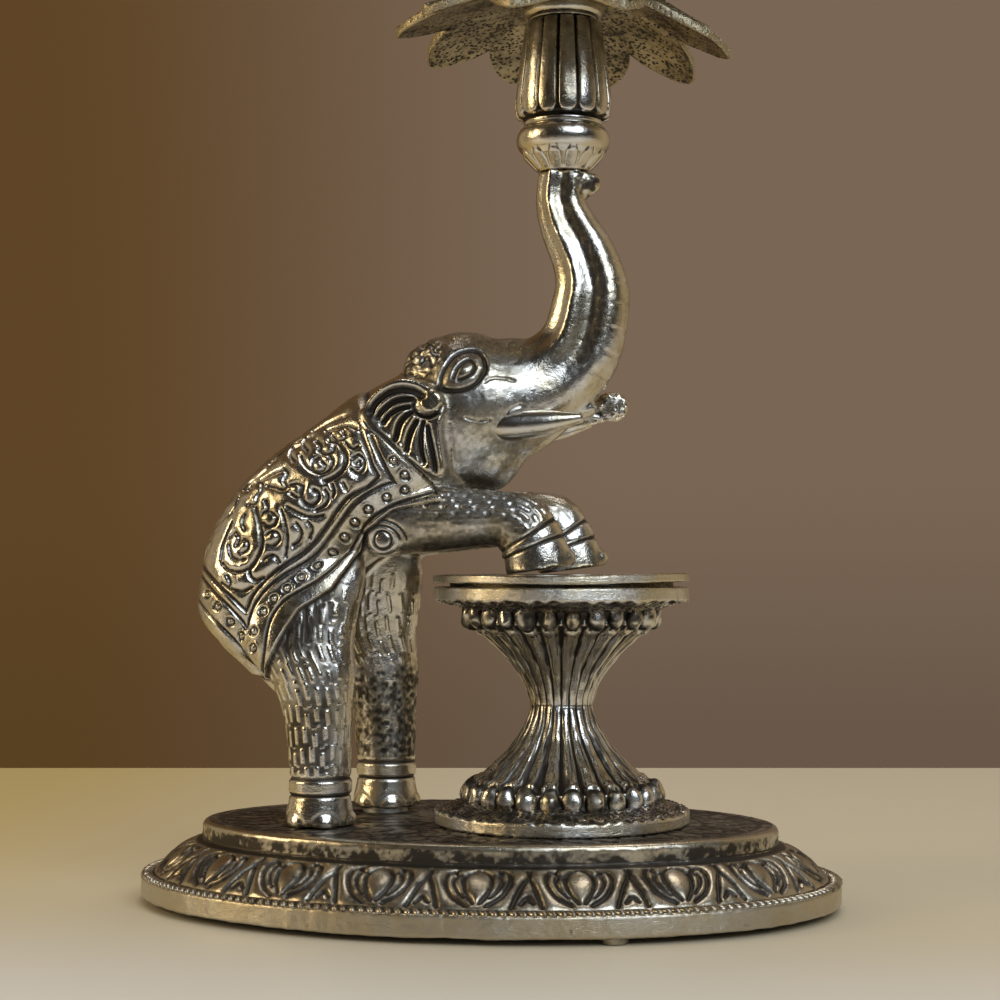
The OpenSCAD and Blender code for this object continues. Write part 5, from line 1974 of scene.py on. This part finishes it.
@dataclass
class Stem:
    """The cup on the trunk, the lobed barrel and the collar."""

    x: float = 17.4
    cup_z: float = 163.7
    cup_h: float = 11.2
    cup_r: float = 10.5
    barrel_z: float = 174.9
    barrel_h: float = 22.6
    barrel_r: float = 10.6
    barrel_top_r: float = 8.2
    lobes: int = 14
    collar_z: float = 197.5
    collar_h: float = 4.2
    collar_r: float = 9.1
    bore: float = 2.25
    cup_petals: int = 13
    columns: int = 560
    collar_columns: int = 240

    def turned(self, outline: Array, columns: int) -> tuple[CastMesh, Array, Array, Array]:
        """Turns an outer outline round the rod's bore.

        Args:
            outline: Radius and height, upwards.
            columns: Points round the turn.

        Returns:
            The mesh, and its points' angles, radii and heights.
        """
        low, high = outline[0, 1], outline[-1, 1]
        profile = np.vstack([[self.bore, low], outline, [self.bore, high]])
        made = CastMesh.turned(profile, columns, (self.x, 0.0))
        return made, *CastMesh.turned_places(profile, columns)

    def cup(self) -> Casting:
        """The cup: a rolled ring over a flare of petals."""
        h, r = self.cup_h, self.cup_r
        turn = np.radians(np.arange(-52, 73, 6))
        ring = np.column_stack([r - 0.27 * h + 0.27 * h * np.cos(turn), 0.625 * h + 0.3 * h * np.sin(turn)])
        outline = np.vstack(
            [
                even_path([[4.0, 0], [5.7, 0], [6.0, 0.4], [7.2, 1.6], [r - 1.6, 0.3 * h], ring[0]], 0.3),
                ring[1:],
                even_path([ring[-1], [r - 1.7, h - 0.6], [r - 1.7, h]], 0.3)[1:],
            ]
        )
        made, a, reach, z = self.turned(outline, self.columns)
        flare = ease(0.2, 0.8, z) * ease(0.42 * h, 0.34 * h, z) * (reach > 5)
        u = np.abs((a * self.cup_petals / FULL_TURN) % 1.0 - 0.5)
        edge = 0.42 - 0.25 * np.clip(z / (0.38 * h), 0, 1) ** 3
        height = flare * (0.15 * bump(u, 0.0, 0.2) - 0.3 * bump(u, edge, 0.05))
        made.push(height + 0.04 * made.grain(0.45, 91))
        made.points[:, 2] += self.cup_z
        return made, {"patina": made.patina((0.02, 0.1), (0.25, 0.9))}

    def barrel(self) -> Casting:
        """The barrel with its black-grooved lobes."""
        t = np.linspace(0, 1, 84)
        edge = np.where(
            t < 0.2,
            self.barrel_r - 0.5 * (1 - t / 0.2) ** 2,
            self.barrel_r - (self.barrel_r - self.barrel_top_r) * (np.maximum(t - 0.2, 0) / 0.8) ** 1.1,
        )
        outline = np.vstack([[[6.0, 0]], np.column_stack([edge, self.barrel_h * t]), [[5.0, self.barrel_h]]])
        made, a, reach, z = self.turned(outline, self.columns)
        pitch = FULL_TURN * reach / self.lobes
        u = np.abs((a * self.lobes / FULL_TURN + 0.5) % 1.0 - 0.5) * pitch
        foot = np.maximum(2.6 - z, 0.0)
        line = pitch / 2 - np.hypot(u, foot * 0.95)
        lobed = (reach > 6.5) * 1.0
        top = ease(self.barrel_h - 0.9, self.barrel_h - 0.1, z)
        height = 0.3 * swell(line, 0.9) - 0.95 * ease(0.5, 0.05, line)
        height += -0.7 * top - 0.6 * bump(z, 0.4, 0.35)
        made.push(lobed * height + 0.04 * made.grain(0.4, 93))
        patina = most(
            made.patina((0.03, 0.14), (0.3, 1.0)),
            lobed * ease(0.35, 0.0, line),
            lobed * (0.1 + 0.3 * z / self.barrel_h + 0.15 * made.grain(0.5, 94)),
        )
        made.points[:, 2] += self.barrel_z
        return made, {"patina": np.clip(patina, 0, 1)}

    def collar(self) -> Casting:
        """The rolled ring above the barrel."""
        half = (self.collar_h - 1) / 2
        turn = np.radians(np.arange(-80, 81, 8))
        roll = np.column_stack([self.collar_r - 1.4 + 1.4 * np.cos(turn), 0.5 + half + half * np.sin(turn)])
        neck = self.barrel_top_r - 0.6
        foot = even_path([[4, 0], [neck, 0], [neck, 0.5], roll[0]], 0.4)
        outline = np.vstack([foot, roll[1:], [[self.collar_r - 1, self.collar_h]]])
        made = self.turned(outline, self.collar_columns)[0]
        made.push(0.05 * made.grain(0.4, 95))
        patina = made.patina((0.03, 0.15), (0.3, 1.0))
        made.points[:, 2] += self.collar_z
        return made, {"patina": patina}

    def build(self, finishes: Finishes) -> None:
        """Makes the three castings."""
        for node, made in (
            ("trunk_cup", self.cup()), ("fluted_barrel", self.barrel()), ("stem_collar", self.collar())
        ):
            Workshop.cast(made, node + "_cast", finishes.cast, Slot.CAST, nodes=(node,))


# Lotus


@dataclass(frozen=True)
class Whorl:
    """Sizes of one petal plate.

    Attributes:
        node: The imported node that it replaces.
        z: Height of its underside.
        tip: Radius at the petals' tips.
        notch: Radius between the petals.
        rise: How far the petals climb, below 0 where they droop.
        power: How late they climb.
        point: How blunt their tips are.
        thick: Their thickness.
        phase: Angle of the first petal, in degrees.
        lean: Rise for each millimetre ahead of the rod.
        seed: The start of its random marks.
    """

    node: str
    z: float
    tip: float
    notch: float
    rise: float
    power: float
    point: float
    thick: float
    phase: float
    lean: float
    seed: int


@dataclass
class Lotus:
    """Three petal plates on the rod."""

    x: float = 17.4
    hub: float = 13.0
    plate: float = 1.8
    bore: float = 2.25
    petals: int = 10
    columns: int = 660
    whorls: tuple[Whorl, ...] = (
        Whorl("lower_petals", 201.7, 38.0, 28.43, -12.0, 1.4, 1.45, 1.8, 9.0, -0.065, 101),
        Whorl("middle_petals", 203.5, 47.0, 31.9, 13.0, 1.5, 1.6, 1.8, 27.0, 0.0, 111),
        Whorl("inner_petals", 205.3, 39.0, 30.3, 22.0, 1.9, 1.6, 2.88, 9.0, 0.0, 121),
    )

    def whorl(self, w: Whorl) -> Casting:
        """One plate with its petals.

        Args:
            w: Its sizes.

        Returns:
            The mesh and its shades.
        """
        a = ring_angles(self.columns)
        turn = (a - math.radians(w.phase)) * self.petals / FULL_TURN + 0.5
        t = turn % 1.0 * 2.0 - 1.0
        own = np.random.default_rng(w.seed).uniform(-1, 1, self.petals)
        own = own[np.floor(turn % self.petals).astype(int)]
        edge = w.notch + (w.tip - w.notch) * (1 - np.abs(t) ** w.point) ** 0.9 - 0.3 * (1 + own)
        made_rows, sides, shares = [], [], []

        def add(r: Any, z: Any, side: float, share: float) -> None:
            """Adds one row at radii and heights, on the top (1), the edge (0) or below (-1)."""
            made_rows.append(circle(r, a, z, self.x))
            sides.append(side)
            shares.append(share)

        def petal_row(share: float, up: float, inset: float) -> tuple[Array, Array]:
            """Radii and heights at a share of the way out, and a share of the way up through the plate."""
            r = self.hub + (edge - inset - self.hub) * share
            s = np.clip((r - self.hub) / (w.tip + 1 - self.hub), 0, None)
            thick = self.plate + (w.thick - self.plate) * ease(0.0, 0.2, s)
            return r, w.rise * s**w.power + thick * up

        hub_radii = self.bore + (self.hub - self.bore) * np.linspace(0, 1, 6)[:-1]
        petal_shares = np.linspace(0, 1, 44)
        for r in hub_radii:
            add(r, 0.0, -1.0, 0.0)
        for share in petal_shares:
            add(*petal_row(share, 0.0, 0.35 * (share >= 0.99)), -1.0, share)
        for up in (0.25, 0.5, 0.75):
            add(*petal_row(1.0, up, 0.0), 0.0, 1.0)
        for share in petal_shares[::-1]:
            add(*petal_row(share, 1.0, 0.35 * (share >= 0.99)), 1.0, share)
        for r in hub_radii[::-1]:
            add(r, self.plate, 1.0, 0.0)
        made = CastMesh.grid(np.array(made_rows), closed=True)
        side, share = np.repeat(sides, len(a)), np.repeat(shares, len(a))
        across, own = np.tile(np.abs(t), len(made_rows)), np.tile(own, len(made_rows))
        petal = ease(0.25, 0.6, share)
        vein = bump(across, 0.0, 0.06) * 0.35 - 0.3 * bump(across, 0.13, 0.05)
        for k in (0.28, 0.46, 0.64):
            vein -= 0.2 * bump(across + 0.25 * (1 - share), k, 0.035)
        rim = 0.35 * ease(0.86, 0.95, share)
        between = -0.6 * ease(0.8, 1.0, across) * petal
        height = 0.10 * made.grain(0.25, w.seed) + (side > 0) * (petal * vein + rim + between)
        height += (side < 0) * (0.12 * made.grain(0.5, w.seed + 1) + 0.3 * between)
        height += (side == 0) * 0.12 * made.grain(0.4, w.seed + 2)
        made.push(height)
        ahead = made.points[:, 0] - self.x
        reach = ease(self.hub, w.tip, np.hypot(ahead, made.points[:, 1]))
        made.points[:, 2] += w.z + reach * (w.lean * ahead + 0.7 * own * (w.rise < 0))
        below = 0.36 + 0.16 * made.grain(0.2, w.seed + 3)
        patina = np.where(side > 0, made.patina((0.02, 0.12), (0.12, 0.5)), below)
        ground = (side == 0) | (share > 0.985)
        return made, {"patina": np.clip(patina, 0, 1), "ground": ground.astype(float)}

    def build(self, finishes: Finishes) -> None:
        """Makes the three plates."""
        for w in self.whorls:
            Workshop.cast(self.whorl(w), w.node + "_cast", finishes.petal, Slot.PETAL, nodes=(w.node,))


# Bowl


@dataclass
class OilBowl:
    """The bowl that lifts out, its beaded lip and its wick."""

    x: float = 17.4
    z: float = 213.6
    height: float = 14.0
    lip_r: float = 27.0
    wall: float = 1.6
    foot_r: float = 9.0
    spigot_r: float = 5.7
    spigot_h: float = 1.4
    columns: int = 360
    beads: int = 72
    bead: tuple[float, float, float] = (0.9, 0.95, 0.9)
    wick_h: float = 16.0

    def arc(self, r0: float, r1: float, z0: float, z1: float) -> Array:
        """The bowl's quarter-round side."""
        a = np.linspace(0, np.pi / 2, 44)
        return np.column_stack([r0 + (r1 - r0) * np.sin(a), z1 - (z1 - z0) * np.cos(a)])

    def bowl(self) -> Casting:
        """The turned bowl with its spigot."""
        rim, foot, lip = self.z + self.height, self.z - self.spigot_h, self.lip_r
        floor = self.z + self.wall
        outer = self.arc(self.foot_r, lip, self.z, rim - 0.4)
        inner = self.arc(self.foot_r - self.wall, lip - self.wall, floor, rim - 0.3)[::-1]
        profile = np.vstack(
            [
                [[0.2, foot], [self.spigot_r, foot], [self.spigot_r, self.z]],
                outer,
                [[lip - 0.4, rim], [lip - self.wall + 0.4, rim]],
                inner,
                [[0.2, floor]],
            ]
        )
        made = CastMesh.turned(profile, self.columns, (self.x, 0.0))
        _, r, z = CastMesh.turned_places(profile, self.columns)
        lines = bump(z, rim - 3.0, 0.3) + bump(z, rim - 4.2, 0.3)
        made.push(0.03 * made.grain(0.4, 131) - 0.3 * lines * (r > lip - 3))
        z = made.points[:, 2]
        # Darker towards the bowl's foot, inside and out.
        darker_low = 0.35 * ease(rim - 4, self.z, z) * (r < lip - 3)
        return made, {"patina": most(made.patina((0.02, 0.1), (0.3, 1.0)), darker_low)}

    def beading(self, finishes: Finishes, repeat: RepeatRig) -> Mesh:
        """The beads along the lip."""
        a = ring_angles(self.beads)
        spots = circle(self.lip_r - 0.3, a, self.z + self.height - 1.2, self.x)
        turns = np.column_stack([0 * a, 0 * a, a])
        bead = CastMesh.ball((0, 0, 0), self.bead, 8, 14)
        made = repeat.set_out(bead, spots, turns, finishes.bowl, 0.05, 9)
        CastMesh.shade(made, "patina", np.zeros(len(made.vertices)))
        return made

    def puff(self) -> CastMesh:
        """The cotton puff on the bowl's floor."""
        floor = self.z + self.wall
        t = np.linspace(0, 1, 40)[:, None] * np.pi / 2
        a = ring_angles(96) + 1.3 * t
        r = 0.3 + 5.5 * np.cos(t) ** 0.6
        high = floor + 0.1 + 3.6 * np.sin(t) ** 1.6
        made = CastMesh.grid(circle(r, a, high, self.x), capped=True)
        x, y, z = made.points.T
        curl = np.sin(9 * np.arctan2(y, x - self.x) + 2.2 * (z - floor))
        made.push(0.28 * curl + 0.3 * made.grain(0.8, 141))
        made.points[:, 2] = np.maximum(made.points[:, 2], floor + 0.05)
        return made

    def build(self, finishes: Finishes, repeat: RepeatRig, strands: StrandRig) -> None:
        """Makes the bowl, its beads and the wick."""
        Workshop.cast(self.bowl(), "oil_bowl_turned", finishes.bowl, Slot.BOWL, Body.BOWL, ("oil_bowl",))
        beads = self.beading(finishes, repeat)
        Workshop.place(beads, "oil_bowl_beads", finishes.bowl, Slot.BOWL, Body.BOWL)
        cotton = (finishes.cotton, Slot.COTTON, Body.BOWL)
        Workshop.cast((self.puff(), {}), "wick_puff", *cotton, ("cotton_wick",))
        for name, lift, turns, foot, tip, tall, count, thick in (
            ("wick_tip", 1.2, 3.2, 1.05, 0.35, self.wick_h - 2.0, 7, 0.55),
            ("wick_strands", 0.6, 0.8, 4.6, 1.1, 4.4, 26, 0.34),
        ):
            sizes = {"Foot Radius": foot, "Tip Radius": tip, "Height": tall, "Strand Radius": thick}
            inputs = {key: size * MM for key, size in sizes.items()}
            inputs |= {"Turns": turns, "Strands": count, "Finish": finishes.cotton}
            made = strands.run(bpy.data.meshes.new("strands"), inputs)
            CastMesh.move(made, CastMesh.points_of(made) / MM + [self.x, 0.0, self.z + self.wall + lift])
            made.update()
            Workshop.place(made, name, *cotton)


# Small metal


@dataclass
class Fasteners:
    """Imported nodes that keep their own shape."""

    steel: tuple[str, ...] = (
        "pedestal_bolt", "pedestal_washer", "pedestal_nut", "hind_foot_spacer", "hind_foot_screws",
        "hind_foot_washers", "stem_rod", "lotus_washer", "lotus_nut",
    )
    cast: tuple[str, ...] = ("bowl_seat",)

    def dress(self, nodes: dict[str, bpy.types.Object], finishes: Finishes) -> None:
        """Gives the nodes their finishes."""
        for names, finish in ((self.steel, finishes.steel), (self.cast, finishes.bowl)):
            for name in names:
                nodes[name].data.materials.clear()
                nodes[name].data.materials.append(finish)
                LOG.info("%s keeps its packed shape", name)


# Studio


@dataclass
class Studio:
    """Table, backdrop, lamps and camera."""

    table: Colour = (0.49, 0.43, 0.31)
    # Painted light and shade on the table: window light at the front, lamp light to the left, shade towards
    # the viewer.
    table_front_window_light: Colour = (0.57, 0.545, 0.50)
    table_left_lamp_light: Colour = (0.45, 0.345, 0.14)
    table_near_shade: Colour = (0.07, 0.058, 0.045)
    # The backdrop's painted shade on the left and painted light on the right.
    wall_left_shaded: Colour = (0.115, 0.060, 0.020)
    wall_right_lit: Colour = (0.192, 0.133, 0.090)
    glow: Colour = (0.42, 0.335, 0.21)
    room: Colour = (0.014, 0.011, 0.009)
    fill: Colour = (1.0, 0.95, 0.88)
    fill_power: float = 0.53
    table_half: float = 1.1
    front_edge: float = -0.75
    back_edge: float = 0.7394
    lens: float = 72.0
    shift_y: float = 0.06
    eye: tuple[float, float, float] = (0.0735, -0.4450, 0.0769)
    yaw_deg: float = 9.0

    def floor(self) -> None:
        """The pale table top, square to the view, with painted light and shade: painted cool window light at
        the front, painted warm lamp light to the left and painted shade darkening it towards the viewer.
        """
        turn = math.radians(self.yaw_deg)
        right, ahead = np.array([[math.cos(turn), math.sin(turn)], [-math.sin(turn), math.cos(turn)]])
        eye, near, far, half = np.array(self.eye[:2]), self.front_edge, self.back_edge, self.table_half
        corners = [
            (*(eye + ahead * d + right * w), 0.0)
            for d, w in ((near, -half), (near, half), (far, half), (far, -half))
        ]
        mesh = bpy.data.meshes.new("table_top")
        mesh.from_pydata(corners, [], [(0, 1, 2, 3)])
        made = bpy.data.objects.new("table_top", mesh)
        bpy.context.scene.collection.objects.link(made)
        s = Shader("cream_table")
        along, away, _ = s.axes(s.place)
        # Painted warm lamp light on the table's left part.
        left = (0.0 - along).ease(20.0, 210.0) * away.ease(-140.0, 80.0)
        # Painted cool window light on the table's front.
        tone = s.mixed(self.table, self.table_front_window_light, (0.0 - away).ease(10.0, 140.0))
        tone = s.mixed(tone, self.table_left_lamp_light, left)
        # Painted shade: the table darkens towards the viewer.
        tone = s.mixed(tone, self.table_near_shade, (0.0 - away).ease(170.0, 420.0))
        s.look(Base_Color=tone, Roughness=0.40 + 0.06 * s.noise(0.05))
        mesh.materials.append(s.material)

    def world(self) -> None:
        """A brown wall behind a dark room for what is seen and reflected, and soft even light. The wall
        carries painted shade on its left and towards its foot, and painted light on its right.
        """
        world = bpy.data.worlds.new("room")
        bpy.context.scene.world = world
        world.use_nodes = True
        world.node_tree.nodes.clear()
        s = ShaderTree(world.node_tree)
        side, ahead, high = s.axes(s.node("ShaderNodeTexCoord").outputs["Generated"])
        # Painted shade: the wall darkens towards its foot.
        high = high.ease(-0.11, 0.06)
        left = s.mixed(tuple(0.85 * c for c in self.wall_left_shaded), self.wall_left_shaded, high)
        right = s.mixed(tuple(0.72 * c for c in self.wall_right_lit), self.wall_right_lit, high)
        wall = s.mixed(left, right, side.ease(-0.37, -0.09))
        glow = side.ease(0.34, 0.62) + (0.0 - side).ease(0.62, 0.85)
        wall = s.mixed(wall, self.glow, glow.clamp())
        shown = s.mixed(self.room, wall, ahead.ease(-0.25, 0.45))
        path = s.node("ShaderNodeLightPath").outputs
        rays = ("Is Camera Ray", "Is Glossy Ray", "Is Transmission Ray")
        camera, glossy, through = (Signal(s, path[ray]) for ray in rays)
        seen = (camera + glossy + through).clamp()
        soft = s.node("ShaderNodeBackground", {}, {"Color": (*self.fill, 1.0), "Strength": self.fill_power})
        scenery = s.node("ShaderNodeBackground", {}, {"Color": shown, "Strength": 1.0})
        mix = s.node("ShaderNodeMixShader", {}, {0: seen, 1: soft.outputs[0], 2: scenery.outputs[0]})
        s.node("ShaderNodeOutputWorld", {}, {"Surface": mix.outputs[0]})

    @staticmethod
    def lamp(name: str, place: Colour, size: tuple[float, float], power: float, colour: Colour) -> None:
        """One soft box that looks at the lamp's middle."""
        data = bpy.data.lights.new(name, "AREA")
        data.shape, data.size, data.size_y = "RECTANGLE", *size
        data.energy, data.color = power, colour
        made = bpy.data.objects.new(name, data)
        made.location = place
        aim = np.array([0.0, 0.0, 0.1]) - np.array(place)
        flat = math.hypot(aim[0], aim[1])
        made.rotation_euler = (math.atan2(flat, -aim[2]), 0.0, math.atan2(aim[1], aim[0]) - math.pi / 2)
        bpy.context.scene.collection.objects.link(made)

    def build(self) -> None:
        """Makes the studio."""
        scene = bpy.context.scene
        scene.view_settings.view_transform = "Standard"
        self.floor()
        self.world()
        self.lamp("window", (0.55, -0.75, 0.75), (0.7, 0.7), 6.8, (0.82, 0.91, 1.0))
        self.lamp("warm_side", (-0.85, -0.35, 0.42), (0.3, 0.5), 3.2, (1.0, 0.78, 0.46))
        self.lamp("overhead", (0.05, 0.15, 1.0), (0.5, 0.4), 3.2, (1.0, 0.95, 0.88))
        data = bpy.data.cameras.new("camera")
        data.lens, data.sensor_width, data.shift_y = self.lens, 36.0, self.shift_y
        data.clip_start, data.clip_end = 0.01, 20.0
        camera = bpy.data.objects.new("camera", data)
        camera.location = self.eye
        camera.rotation_euler = (math.pi / 2, 0.0, math.radians(self.yaw_deg))
        scene.collection.objects.link(camera)
        scene.camera = camera


def main() -> None:
    """Builds the lamp's looks and its studio."""
    logging.basicConfig(level=logging.INFO, format="%(name)s: %(message)s")
    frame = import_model()
    finishes = Finishes.made()
    repeat, strands = RepeatRig(), StrandRig()
    Studio().build()
    Plinth().build(finishes, repeat)
    Pedestal().build(finishes, repeat)
    Elephant().build(finishes)
    Stem().build(finishes)
    Lotus().build(finishes)
    OilBowl().build(finishes, repeat, strands)
    Fasteners().dress(frame["nodes"], finishes)


if __name__ == "__main__":
    main()
